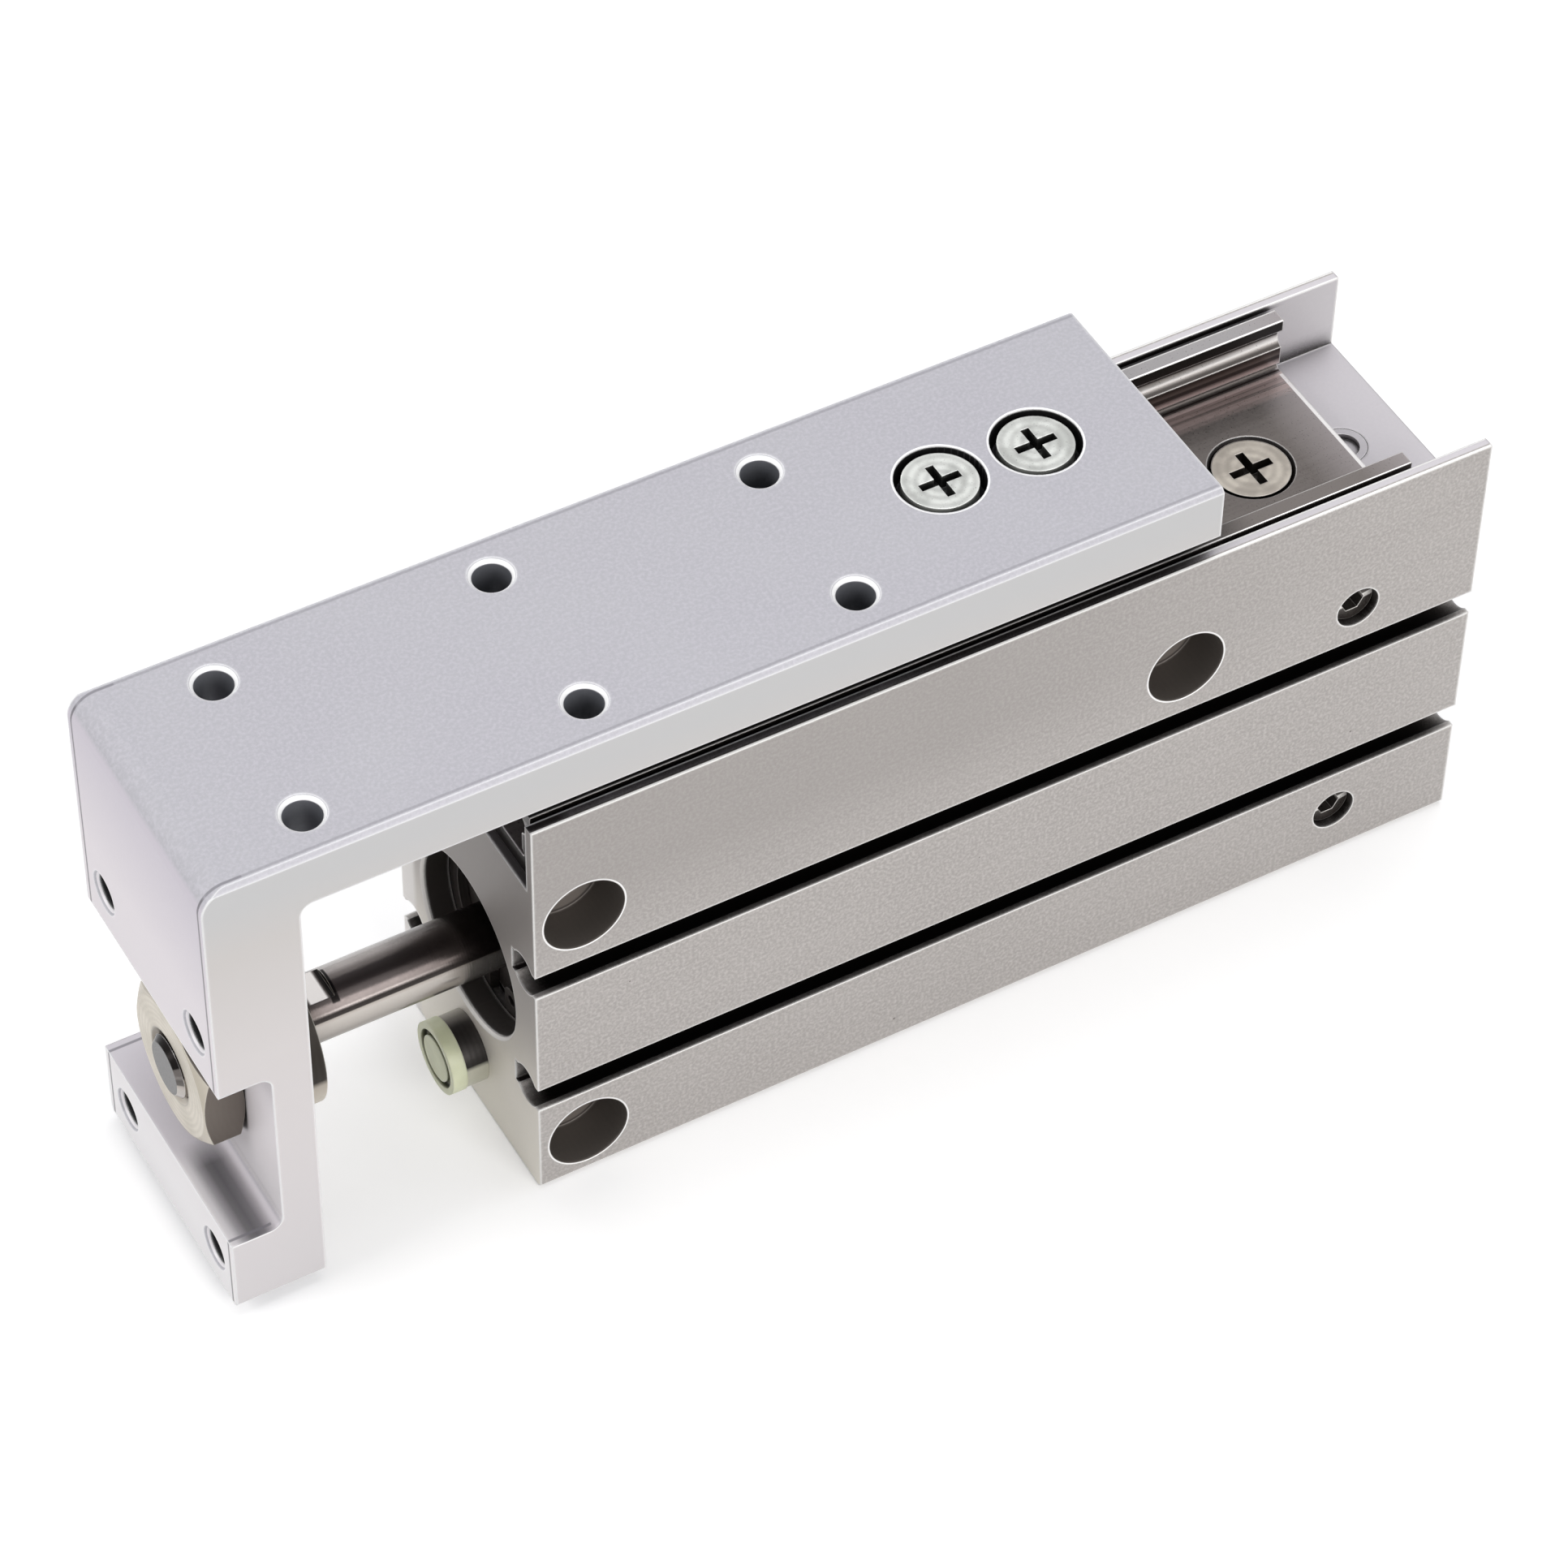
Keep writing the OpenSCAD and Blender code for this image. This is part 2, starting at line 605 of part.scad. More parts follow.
module rod_cover_seal() {
    color([0.10, 0.10, 0.10]) seal_ring(cover_seal_x, bore_d);
}

module rod_cover_ring() {
    color([0.25, 0.25, 0.26]) snap_ring(cover_x + seat);
}

module rod_bush() {
    color([0.70, 0.52, 0.28]) ring(cover_end_x + 2 * seat, cover_end_x + bush_l,
        rod_d + 2 * rod_gap, bush_d);
}

module rod_seal() {
    x1 = cover_x - seat;
    x0 = x1 - rod_seal_l;
    r0 = rod_d / 2 + rod_gap;
    r1 = rod_seal_d / 2 - 0.02;
    lip = (r1 - r0) * 0.45;
    color([0.12, 0.12, 0.12]) turned() polygon([[r0, x0], [r0 + lip, x0],
        [(r0 + r1) / 2, x0 + rod_seal_l / 3], [r1 - lip, x0], [r1, x0], [r1, x1],
        [r0 + lip / 3, x1], [r0, x1 - lip]]);
}

module head_cover() {
    color([0.62, 0.61, 0.60]) difference() {
        union() {
            rod_x(head_x, head_step_x, 0, axis_z, recess_d - 2 * seat);
            rod_x(head_step_x, head_end_x, 0, axis_z, bore_d - 2 * seat);
        }
        ring(head_seal_x - o_ring_d * 0.55, head_seal_x + o_ring_d * 0.55,
            recess_d - 2 * o_ring_d - 4 * seat, recess_d + 1);
        rod_x(head_x - eps, head_x + cover_flange * 0.3, 0, axis_z, bore_d * 0.45);
    }
}

module head_cover_seal() {
    color([0.10, 0.10, 0.10]) seal_ring(head_seal_x, recess_d);
}

module head_cover_ring() {
    color([0.25, 0.25, 0.26]) snap_ring(head_x - seat - snap_t);
}

module bumper_holder() {
    color([0.24, 0.24, 0.25]) difference() {
        union() {
            rod_x(front, bumper_pad_x, 0, bumper_z, bumper_d - 0.2);
            rod_x(front - bumper_screw_l, front, 0, bumper_z, screw_d);
        }
        rod_x(front - 0.6, front + bumper_h, 0, bumper_z, stem_d + 2 * seat);
    }
}

module stop_bumper() {
    end_x = front + bumper_h;
    groove_in = bumper_d * 0.64;                    // diameter inside the ring groove
    color([0.80, 0.80, 0.62]) union() {
        difference() {
            rod_x(bumper_pad_x, end_x, 0, bumper_z, bumper_d);
            difference() {
                rod_x(end_x - bumper_groove, end_x + eps, 0, bumper_z, groove_in + 2 * bumper_groove);
                rod_x(bumper_pad_x, end_x + 2 * eps, 0, bumper_z, groove_in);
            }
        }
        rod_x(front - 0.5, bumper_pad_x, 0, bumper_z, stem_d);
    }
}

// Side view of the table and its front plate, drawn in X and Z
module table_side() {
    r = table_nose_r;
    relief = table_relief_r;
    difference() {
        union() {
            translate([table_x0, table_under]) square([plate_front - r - table_x0, table_t]);
            translate([plate_x, plate_clear]) square([plate_t, table_z - r - plate_clear]);
            translate([plate_front - r, table_z - r]) circle(r = r);
            translate([plate_x - relief, table_under - relief]) square(relief + eps);
        }
        translate([plate_x - relief, table_under - relief]) circle(r = relief);
        translate([web_x, slot_low_z]) difference() {
            square([plate_t, slot_high_z - slot_low_z]);
            slot_corner(1);
            translate([0, slot_high_z - slot_low_z]) slot_corner(-1);
        }
    }
}

// Fillet at the bottom of the nut slot
module slot_corner(side) {
    difference() {
        translate([-eps, side > 0 ? -eps : -slot_r]) square(slot_r + eps);
        translate([slot_r, side * slot_r]) circle(r = slot_r);
    }
}

// View of the table along the slide, which chamfers its long edges
module table_end() {
    c = table_edge;
    w = table_w / 2;
    polygon([[-w, plate_clear + c], [c - w, plate_clear], [w - c, plate_clear], [w, plate_clear + c],
        [w, table_z - c], [w - c, table_z], [c - w, table_z], [-w, table_z - c]]);
}

module table() {
    color([0.80, 0.80, 0.84]) difference() {
        intersection() {
            translate([0, table_w / 2, 0]) rotate([90, 0, 0]) linear_extrude(table_w) table_side();
            prism_x(table_x0, plate_front) table_end();
        }
        for (x = table_hole_xs, s = [-1, 1])
            tapped_z(table_under - 1, table_z, x, s * table_pitch_y / 2);
        for (x = table_screw_xs) {
            rod_z(table_under - eps, table_z, x, 0, screw_d + 2 * hole_gap);
            rod_z(table_seat_z, table_z + eps, x, 0, table_bore_d);
        }
        for (s = [-1, 1], z = plate_hole_zs)
            tapped_x(plate_x - 1, plate_front, s * plate_pitch_y / 2, z);
        rod_x(plate_x - eps, web_x + eps, 0, axis_z, sleeve_d + 0.2);
    }
}

module table_screws() {
    color([0.82, 0.82, 0.83]) for (x = table_screw_xs) difference() {
        union() {
            rod_z(table_seat_z, table_seat_z + table_head_h, x, 0, table_head_d);
            rod_z(table_seat_z - table_screw_l, table_seat_z, x, 0, screw_d);
        }
        cross_recess(x, table_seat_z + table_head_h, table_head_d * 0.58, table_head_h * 0.6);
    }
}

module guide_block() {
    color([0.46, 0.44, 0.42]) difference() {
        prism_x(block_x0 + cap_t, block_x1 - cap_t) difference() {
            translate([-block_half, block_z]) square([2 * block_half, table_under - block_z]);
            for (s = [-1, 1]) {
                translate([s * track_y, track_z]) circle(d = track_d);
                translate([s * (block_half - return_in), track_z]) circle(d = ball_d + 0.2);
            }
        }
        for (x = table_screw_xs)
            rod_z(table_seat_z - table_screw_l - lead, table_under + eps, x, 0,
                screw_d + 2 * tap_gap);
        for (x = [block_x0, block_x1 - cap_screw_l - lead], s = [-1, 1])
            rod_x(x, x + cap_screw_l + lead, s * cap_screw_pitch / 2, track_z,
                cap_screw_d + 2 * tap_gap);
    }
}

// One plastic end cap that starts at x0; its corners are cut away
module end_cap(x0) {
    corner = 1.1;
    difference() {
        prism_x(x0, x0 + cap_t) difference() {
            translate([-block_half, block_z]) square([2 * block_half, table_under - block_z - seat]);
            for (s = [-1, 1], z = [block_z, table_under - seat])
                translate([s * block_half, z]) rotate(45) square(corner, center = true);
        }
        for (s = [-1, 1])
            rod_x(x0 - eps, x0 + cap_t + eps, s * cap_screw_pitch / 2, track_z, cap_screw_d + 0.4);
    }
}

module block_end_caps() {
    color([0.30, 0.42, 0.36]) {
        end_cap(block_x0);
        end_cap(block_x1 - cap_t);
    }
}

module end_cap_screws() {
    color([0.68, 0.68, 0.68]) for (e = [-1, 1], s = [-1, 1])
        translate([block_x, s * cap_screw_pitch / 2, track_z]) rotate([0, e * 90, 0])
            translate([0, 0, block_l / 2 - cap_screw_l]) cylinder(d = cap_screw_d, h = cap_screw_l);
}

module guide_balls() {
    pitch = (block_l - 2 * cap_t - ball_d) / balls_n;
    color([0.85, 0.85, 0.86]) for (s = [-1, 1], i = [0:balls_n - 1])
        translate([block_x + (i - (balls_n - 1) / 2) * pitch, s * track_y, track_z])
            sphere(d = ball_d);
}

module piston_rod() {
    tip_c = 0.5;                                    // chamfer at the rod's tip
    thread_d = rod_d - 0.2;
    color([0.50, 0.50, 0.52]) difference() {
        union() {
            rod_x(rod_back_x, collar_x, 0, axis_z, rod_d);
            rod_x(collar_x - lead, rod_tip_x - tip_c, 0, axis_z, thread_d);
            cone_x(rod_tip_x - tip_c - eps, rod_tip_x, thread_d, thread_d - 2 * tip_c);
            rod_x(piston_rear_x - piston_nut_t - lead, rod_back_x + lead, 0, axis_z, spigot_d);
        }
        for (s = [-1, 1]) translate([neck_x, -rod_d, axis_z + s * (neck_flats + rod_d) / 2 - rod_d / 2])
            cube([neck_l, 2 * rod_d, rod_d]);
    }
}

module rod_collar() {
    color([0.72, 0.67, 0.56]) difference() {
        union() {
            rod_x(collar_x, plate_x, 0, axis_z, collar_d);
            rod_x(plate_x, web_x - 2 * seat, 0, axis_z, sleeve_d);
        }
        rod_x(collar_x - eps, web_x, 0, axis_z, rod_d);
    }
}

module rod_nut() {
    face_r = nut_w * 0.49;                          // radius of the flat face
    rim_r = nut_w * 0.59;
    slope = (rim_r - face_r) * tan(30);             // depth of the corner chamfer at the rim
    nut_sink = 0.5;                                 // countersink at the mouth of its thread
    x1 = web_x + nut_t;
    color([0.80, 0.76, 0.64]) difference() {
        intersection() {
            hex_x(web_x, x1, axis_z, nut_w);
            turned(15) polygon([[0, web_x], [face_r, web_x], [rim_r, web_x + slope],
                [rim_r, x1 - slope], [face_r, x1], [0, x1]]);
        }
        rod_x(web_x - eps, x1 + eps, 0, axis_z, rod_d);
        cone_x(x1 - nut_sink, x1 + eps, rod_d, rod_d + 2 * nut_sink);
    }
}

module front_cushion() {
    color([0.75, 0.76, 0.60]) ring(rod_back_x, rod_back_x + front_pad_t, rod_d + 2 * seat,
        bore_d - 2 * front_pad_gap);
}

module piston_front() {
    color([0.70, 0.70, 0.71]) difference() {
        ring(piston_front_x, rod_back_x, spigot_d + 2 * seat, piston_d);
        ring(piston_seal_x - 2 * seat, piston_seal_x + piston_seal_w + 2 * seat,
            bore_d - 2 * piston_seal_h, bore_d + 1);
    }
}

module piston_seal() {
    r0 = bore_d / 2 - piston_seal_h;
    r1 = bore_d / 2 - piston_gap / 2;
    q = piston_seal_w / 4;                          // the seal has two lips, each 2 q wide
    x0 = piston_seal_x;
    color([0.12, 0.12, 0.12]) turned() polygon([[r0, x0], [r1 - q, x0], [r1, x0 + q],
        [r1 - q, x0 + 2 * q], [r1, x0 + 3 * q], [r1 - q, x0 + 4 * q], [r0, x0 + 4 * q]]);
}

module magnet() {
    color([0.20, 0.20, 0.21]) ring(magnet_x, piston_front_x, spigot_d + 2 * seat,
        bore_d - 2 * magnet_gap);
}

module piston_rear() {
    color([0.70, 0.70, 0.71]) difference() {
        ring(piston_rear_x, magnet_x, spigot_d + 2 * seat, piston_d);
        ring(wear_x - 2 * seat, wear_x + wear_w + 2 * seat, wear_in, bore_d + 1);
    }
}

module wear_ring() {
    color([0.55, 0.42, 0.30]) ring(wear_x, wear_x + wear_w, wear_in, bore_d - piston_gap);
}

module rear_cushion() {
    color([0.75, 0.76, 0.60]) ring(piston_end_x, piston_rear_x,
        piston_nut_w / cos(30) + 2 * lead, bore_d - 2 * rear_pad_gap);
}

module piston_nut() {
    color([0.66, 0.66, 0.64]) difference() {
        hex_x(piston_rear_x - piston_nut_t, piston_rear_x, axis_z, piston_nut_w);
        rod_x(piston_end_x, piston_rear_x + eps, 0, axis_z, spigot_d + 2 * seat);
    }
}

body();
guide_rail();
rail_screws();
floor_plug();
drilling_plugs();
port_plugs();
rod_cover();
rod_cover_seal();
rod_cover_ring();
rod_bush();
rod_seal();
head_cover();
head_cover_seal();
head_cover_ring();
bumper_holder();
stop_bumper();
table();
table_screws();
guide_block();
block_end_caps();
end_cap_screws();
guide_balls();
piston_rod();
rod_collar();
rod_nut();
front_cushion();
piston_front();
piston_seal();
magnet();
piston_rear();
wear_ring();
rear_cushion();
piston_nut();
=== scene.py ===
import math

import bmesh
import bpy
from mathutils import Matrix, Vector


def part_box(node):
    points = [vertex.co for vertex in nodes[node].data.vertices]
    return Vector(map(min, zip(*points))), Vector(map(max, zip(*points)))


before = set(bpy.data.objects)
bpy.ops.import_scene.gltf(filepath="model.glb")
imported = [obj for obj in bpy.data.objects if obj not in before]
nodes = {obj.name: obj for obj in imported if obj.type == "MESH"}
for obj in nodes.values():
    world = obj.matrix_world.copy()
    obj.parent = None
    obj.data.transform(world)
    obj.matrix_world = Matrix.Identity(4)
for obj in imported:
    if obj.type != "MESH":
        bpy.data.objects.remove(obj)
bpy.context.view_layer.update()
mm = 0.001
crisp = 0.02 * mm                      # softness of a painted edge that looks sharp
print("frame loaded:", len(nodes), "nodes")


# ---------- small helpers ----------

def tone(red, green, blue):  # a colour as it is seen, 0 to 255, into the linear values that sockets hold
    def linear(c):
        c = c / 255
        return c / 12.92 if c <= 0.04045 else ((c + 0.055) / 1.055) ** 2.4
    return (linear(red), linear(green), linear(blue), 1.0)


def feed(tree, node, values):  # each value is a plain one or another node's socket
    for slot, value in values.items():
        if isinstance(value, bpy.types.NodeSocket):
            tree.links.new(value, node.inputs[slot])
        else:
            node.inputs[slot].default_value = value


def put(tree, kind, values=None, **settings):
    node = tree.nodes.new(kind)
    for name, value in settings.items():
        setattr(node, name, value)
    feed(tree, node, values or {})
    return node


def maths(tree, operation, *values, clamp=False):
    node = put(tree, "ShaderNodeMath", dict(enumerate(values)), operation=operation, use_clamp=clamp)
    return node.outputs["Value"]


def vectorMaths(tree, operation, *values):  # for the operations that give one number
    return put(tree, "ShaderNodeVectorMath", dict(enumerate(values)), operation=operation).outputs["Value"]


def product(tree, first, *others):
    for other in others:
        first = maths(tree, "MULTIPLY", first, other)
    return first


def largest(tree, first, *others):
    for other in others:
        first = maths(tree, "MAXIMUM", first, other)
    return first


def rest(tree, mask):  # everywhere but in the mask
    return maths(tree, "SUBTRACT", 1.0, mask)


def scaled(tree, value, low, high, fromLow=0.0, fromHigh=1.0, **settings):  # maps a range into low to high
    values = {"Value": value, "From Min": fromLow, "From Max": fromHigh, "To Min": low, "To Max": high}
    return put(tree, "ShaderNodeMapRange", values, **settings).outputs["Result"]


def axes(tree, vector):  # its X, Y and Z
    return list(put(tree, "ShaderNodeSeparateXYZ", {"Vector": vector}).outputs)


def mixColour(tree, first, second, *masks):  # the second colour comes in where all the masks meet
    mix = put(tree, "ShaderNodeMix", {0: product(tree, *masks), 6: first, 7: second}, data_type="RGBA")
    return mix.outputs[2]


def ramp(tree, value, stops):  # stops: (place, colour) from 0 to 1
    node = put(tree, "ShaderNodeValToRGB", {"Fac": value})
    points = node.color_ramp.elements
    while len(points) < len(stops):
        points.new(0.5)
    for point, (spot, colour) in zip(points, stops):
        point.position = spot
        point.color = colour
    return node.outputs["Color"]


def newGroup(name, inputs, outputs=("Mask",)):  # inputs: name -> default
    group = bpy.data.node_groups.new(name, "ShaderNodeTree")
    sockets = [(label, "INPUT", start) for label, start in inputs.items()]
    for label, side, start in sockets + [(label, "OUTPUT", None) for label in outputs]:
        kind = "NodeSocketVector" if label in ("Vector", "Normal", "Axis") else "NodeSocketFloat"
        socket = group.interface.new_socket(label, in_out=side, socket_type=kind)
        if start is not None:
            socket.default_value = start
    return group, put(group, "NodeGroupInput").outputs


# ---------- shared effects ----------

def makeGrainGroup():  # fine and broad unevenness of a blasted or anodised face
    group, start = newGroup("blastedGrain", {"Vector": None, "Grain Scale": 5000.0, "Cloud Scale": 90.0},
                            ("Grain", "Cloud"))
    results = {}
    for label, detail, roughness in (("Grain", 3.0, 0.6), ("Cloud", 4.0, 0.55)):
        noise = put(group, "ShaderNodeTexNoise", {"Vector": start["Vector"], "Scale": start[label + " Scale"],
                                                  "Detail": detail, "Roughness": roughness})
        results[label] = noise.outputs["Fac"]
    put(group, "NodeGroupOutput", results)
    return group


def makeDrawnLinesGroup():  # lines left along X by drawing, milling or grinding
    group, start = newGroup("drawnLines", {"Vector": None, "Length": 40.0, "Fineness": 3000.0}, ("Lines",))
    x, y, z = axes(group, start["Vector"])
    stretched = put(group, "ShaderNodeCombineXYZ", {
        "X": product(group, x, start["Length"]), "Y": product(group, y, start["Fineness"]),
        "Z": product(group, z, start["Fineness"])}).outputs["Vector"]
    noise = put(group, "ShaderNodeTexNoise", {"Vector": stretched, "Scale": 1.0, "Detail": 4.0,
                                              "Roughness": 0.7})
    put(group, "NodeGroupOutput", {"Lines": noise.outputs["Fac"]})
    return group


def makeEdgeHighlightGroup():  # a mask along sharp edges for painted highlights, and the normal that rounds them
    group, start = newGroup("edgeHighlight", {"Radius": 0.0003, "Strength": 3.0}, ("Mask", "Normal"))
    rounded = put(group, "ShaderNodeBevel", {"Radius": start["Radius"]}, samples=8).outputs["Normal"]
    plain = put(group, "ShaderNodeNewGeometry").outputs["Normal"]
    turn = maths(group, "SUBTRACT", 1.0, vectorMaths(group, "DOT_PRODUCT", rounded, plain), clamp=True)
    gain = maths(group, "MULTIPLY", turn, start["Strength"], clamp=True)
    put(group, "NodeGroupOutput", {"Mask": gain, "Normal": rounded})
    return group


def makeShadeGroup(name, reach, low, high, alone):
    # a mask that grows inside holes, slots and corners, of the piece alone or with its neighbours
    group, start = newGroup(name, {"Reach": reach, "From": low, "To": high})
    sky = put(group, "ShaderNodeAmbientOcclusion", {"Color": (1, 1, 1, 1), "Distance": start["Reach"]},
              samples=8, only_local=alone).outputs["AO"]
    mask = scaled(group, sky, 1.0, 0.0, start["From"], start["To"], interpolation_type="SMOOTHSTEP")
    put(group, "NodeGroupOutput", {"Mask": mask})
    return group


def makeAcrossGroup():  # 0 to 1 across a cylinder along X, from its lower near side to its upper far side
    group, start = newGroup("acrossRound", {"Normal": None}, ("Across",))
    turn = vectorMaths(group, "DOT_PRODUCT", start["Normal"], (0.0, -0.8, 0.6))
    put(group, "NodeGroupOutput", {"Across": scaled(group, turn, 0.0, 1.0, -1.0, 1.0)})
    return group


def makeFacingGroup():  # a mask where a face looks along one axis, either way
    group, start = newGroup("facing", {"Normal": None, "Axis": (1.0, 0.0, 0.0), "From": 0.85, "To": 0.95})
    turn = maths(group, "ABSOLUTE", vectorMaths(group, "DOT_PRODUCT", start["Normal"], start["Axis"]))
    put(group, "NodeGroupOutput", {"Mask": scaled(group, turn, 0.0, 1.0, start["From"], start["To"])})
    return group


def makeBandGroup():  # a mask between two values, with soft ends
    group, start = newGroup("band", {"Value": 0.0, "Low": 0.0, "High": 1.0, "Soft": 0.0001})
    ends = []
    for more, less in (("Value", "Low"), ("High", "Value")):
        beyond = maths(group, "SUBTRACT", start[more], start[less])
        ends.append(maths(group, "DIVIDE", beyond, start["Soft"], clamp=True))
    put(group, "NodeGroupOutput", {"Mask": product(group, *ends)})
    return group


def makeSpecksGroup():  # sparse dark specks and tiny pits
    emptyShare = 0.72
    group, start = newGroup("specks", {"Vector": None, "Scale": 160.0, "Size": 0.06})
    cells = put(group, "ShaderNodeTexVoronoi",
                {"Vector": start["Vector"], "Scale": start["Scale"], "Randomness": 1.0}).outputs
    draw = put(group, "ShaderNodeSeparateColor", {"Color": cells["Color"]}).outputs["Red"]
    near = maths(group, "LESS_THAN", cells["Distance"], start["Size"])
    picked = maths(group, "GREATER_THAN", draw, emptyShare)
    put(group, "NodeGroupOutput", {"Mask": product(group, near, picked)})
    return group


effects = {
    "grain": makeGrainGroup(),
    "lines": makeDrawnLinesGroup(),
    "edge": makeEdgeHighlightGroup(),
    "recess": makeShadeGroup("recessShade", 0.004, 0.35, 0.95, True),
    "gap": makeShadeGroup("gapShade", 0.0012, 0.3, 0.75, False),
    "across": makeAcrossGroup(),
    "facing": makeFacingGroup(),
    "band": makeBandGroup(),
    "specks": makeSpecksGroup(),
}


def effect(tree, name, values):
    return put(tree, "ShaderNodeGroup", values, node_tree=effects[name]).outputs


def edgeAndRecess(tree, look):
    edge = effect(tree, "edge", {"Radius": look["edgeRadius"], "Strength": look["edgeStrength"]})
    recess = effect(tree, "recess", {"Reach": look["recessReach"], "From": look["recessFrom"],
                                     "To": look["recessTo"]})
    return edge, recess["Mask"]


def newMaterial(name):
    material = bpy.data.materials.new(name)
    material.use_nodes = True
    tree = material.node_tree
    tree.nodes.clear()
    shader = put(tree, "ShaderNodeBsdfPrincipled")
    put(tree, "ShaderNodeOutputMaterial", {"Surface": shader.outputs["BSDF"]})
    place = put(tree, "ShaderNodeTexCoord", name="place")
    return material, tree, shader, place.outputs["Object"]


def facing(tree, axis, start=0.85, full=0.95):
    values = {"Normal": tree.nodes["place"].outputs["Normal"], "Axis": [float(axis == each) for each in "XYZ"],
              "From": start, "To": full}
    return effect(tree, "facing", values)["Mask"]


def across(tree):
    return effect(tree, "across", {"Normal": tree.nodes["place"].outputs["Normal"]})["Across"]


def band(tree, value, low, high, soft=0.1 * mm):
    return effect(tree, "band", {"Value": value, "Low": low, "High": high, "Soft": soft})["Mask"]


def above(tree, value, low, soft=0.1 * mm):  # a band that ends far outside the part
    return band(tree, value, low, 1.0, soft)


def below(tree, value, high, soft=0.1 * mm):
    return band(tree, value, -1.0, high, soft)


def fromAxes(tree, place, along, centres):
    # distance to the nearest of some straight axes; each centre gives the other two coordinates
    others = {axis: value for axis, value in zip("XYZ", axes(tree, place)) if axis != along}
    flat = put(tree, "ShaderNodeCombineXYZ", others).outputs["Vector"]
    nearest = None
    for centre in centres:
        spot = dict(zip(others, centre))
        far = vectorMaths(tree, "DISTANCE", flat, [spot.get(axis, 0.0) for axis in "XYZ"])
        nearest = far if nearest is None else maths(tree, "MINIMUM", nearest, far)
    return nearest


def boredHoles(tree, colour, distance, radius, inside, rim, bright=tone(252, 252, 252), facet=0.18 * mm):
    # painted shade in a hole, darker in a rim just inside its edge, and a painted highlight line just outside
    # it
    edge = radius + 0.02 * mm
    colour = mixColour(tree, colour, inside, below(tree, distance, edge, crisp))
    colour = mixColour(tree, colour, rim, band(tree, distance, radius - 0.45 * mm, edge, 0.2 * mm), 0.8)
    return mixColour(tree, colour, bright, band(tree, distance, radius + 0.01 * mm, radius + facet, 0.04 * mm))


def bumpFrom(tree, height, strength, distance, normal):
    values = {"Height": height, "Strength": strength, "Distance": distance, "Normal": normal}
    return put(tree, "ShaderNodeBump", values).outputs["Normal"]


def metalFinish(name, look, paint=None):
    # blasted or drawn metal: base colour, clouding, lines along X, painted highlights on edges, painted shade
    # in recesses and gaps
    material, tree, shader, place = newMaterial(name)
    grain = effect(tree, "grain", {"Vector": place, "Grain Scale": look["grainScale"],
                                   "Cloud Scale": look["cloudScale"]})
    lines = effect(tree, "lines", {"Vector": place, "Length": look["lineLength"],
                                   "Fineness": look["lineFineness"]})
    edge, recess = edgeAndRecess(tree, look)
    colour = look["colour"]
    for layer, mask, low, high in (("cloud", grain["Cloud"], 0.35, 0.65), ("line", lines["Lines"], 0.4, 0.75),
                                   ("grain", grain["Grain"], 0.42, 0.66)):
        colour = mixColour(tree, colour, look[layer + "Colour"],
                           scaled(tree, mask, 0.0, look[layer + "Amount"], low, high))
    if "specks" in look:
        scale, size, amount = look["specks"]
        specks = effect(tree, "specks", {"Vector": place, "Scale": scale, "Size": size})
        colour = mixColour(tree, colour, look["speckColour"], scaled(tree, specks["Mask"], 0.0, amount))
    kept = 0.0                         # where the painted colour stands as it is
    if paint:
        colour, kept = paint(tree, place, colour)
    bare = rest(tree, kept)
    # painted highlight along the edges
    highlighted = scaled(tree, edge["Mask"], 0.0, look["highlightAmount"])
    colour = mixColour(tree, colour, look["highlightColour"], highlighted, bare)
    # painted shade in recesses, and in narrow gaps beside other pieces above a given height
    gap = effect(tree, "gap", {"Reach": look["gapReach"], "From": look["gapFrom"], "To": look["gapTo"]})
    near = product(tree, gap["Mask"], above(tree, axes(tree, place)[2], look["gapAbove"]))
    paintedShade = product(tree, largest(tree, scaled(tree, recess, 0.0, look["recessAmount"]),
                                   scaled(tree, near, 0.0, look["gapAmount"])), bare)
    normal = bumpFrom(tree, lines["Lines"], look["lineBump"], 0.02 * mm, edge["Normal"])
    feed(tree, shader, {
        "Base Color": mixColour(tree, colour, look["recessColour"], paintedShade),
        "Roughness": scaled(tree, grain["Grain"], look["rough"] - look["roughSpread"],
                            look["rough"] + look["roughSpread"], 0.3, 0.7),
        "Metallic": scaled(tree, paintedShade, look["metallic"], 0.95),
        "Normal": bumpFrom(tree, grain["Grain"], look["grainBump"], 0.01 * mm, normal)})
    return material


plainMetal = dict(
    grainScale=6000.0, cloudScale=90.0, lineLength=30.0, lineFineness=2500.0,
    edgeRadius=0.25 * mm, edgeStrength=3.0, highlightAmount=0.7, highlightColour=tone(235, 235, 235),
    recessReach=4 * mm, recessFrom=0.3, recessTo=0.9, recessAmount=0.8, recessColour=tone(50, 46, 44),
    gapReach=1.2 * mm, gapFrom=0.3, gapTo=0.75, gapAbove=-1 * mm, gapAmount=0.85,
    cloudAmount=0.5, lineAmount=0.3, grainAmount=0.2, rough=0.42, roughSpread=0.06, metallic=0.4,
    lineBump=0.15, grainBump=0.15)


def dress(material, *names):
    for name in names:
        piece = nodes[name]
        if not piece.material_slots:
            piece.data.materials.append(material)
        for slot in piece.material_slots:
            slot.material = material


# ---------- body, rail and table ----------

def rowAlongX(name, count):  # axes of equal screws that stand in a row along X
    low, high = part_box(name)
    radius = (high.y - low.y) / 2
    pitch = (high.x - low.x - 2 * radius) / (count - 1)
    return [(low.x + radius + step * pitch, 0) for step in range(count)]


rodLow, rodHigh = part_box("piston_rod")
axisZ = (rodLow.z + rodHigh.z) / 2
rodAxis = [(0, axisZ)]
bodyLow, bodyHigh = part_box("body")
coverLow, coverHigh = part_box("rod_cover")
recessRadius = (coverHigh.y - coverLow.y) / 2
railLow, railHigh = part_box("guide_rail")
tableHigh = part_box("table")[1]

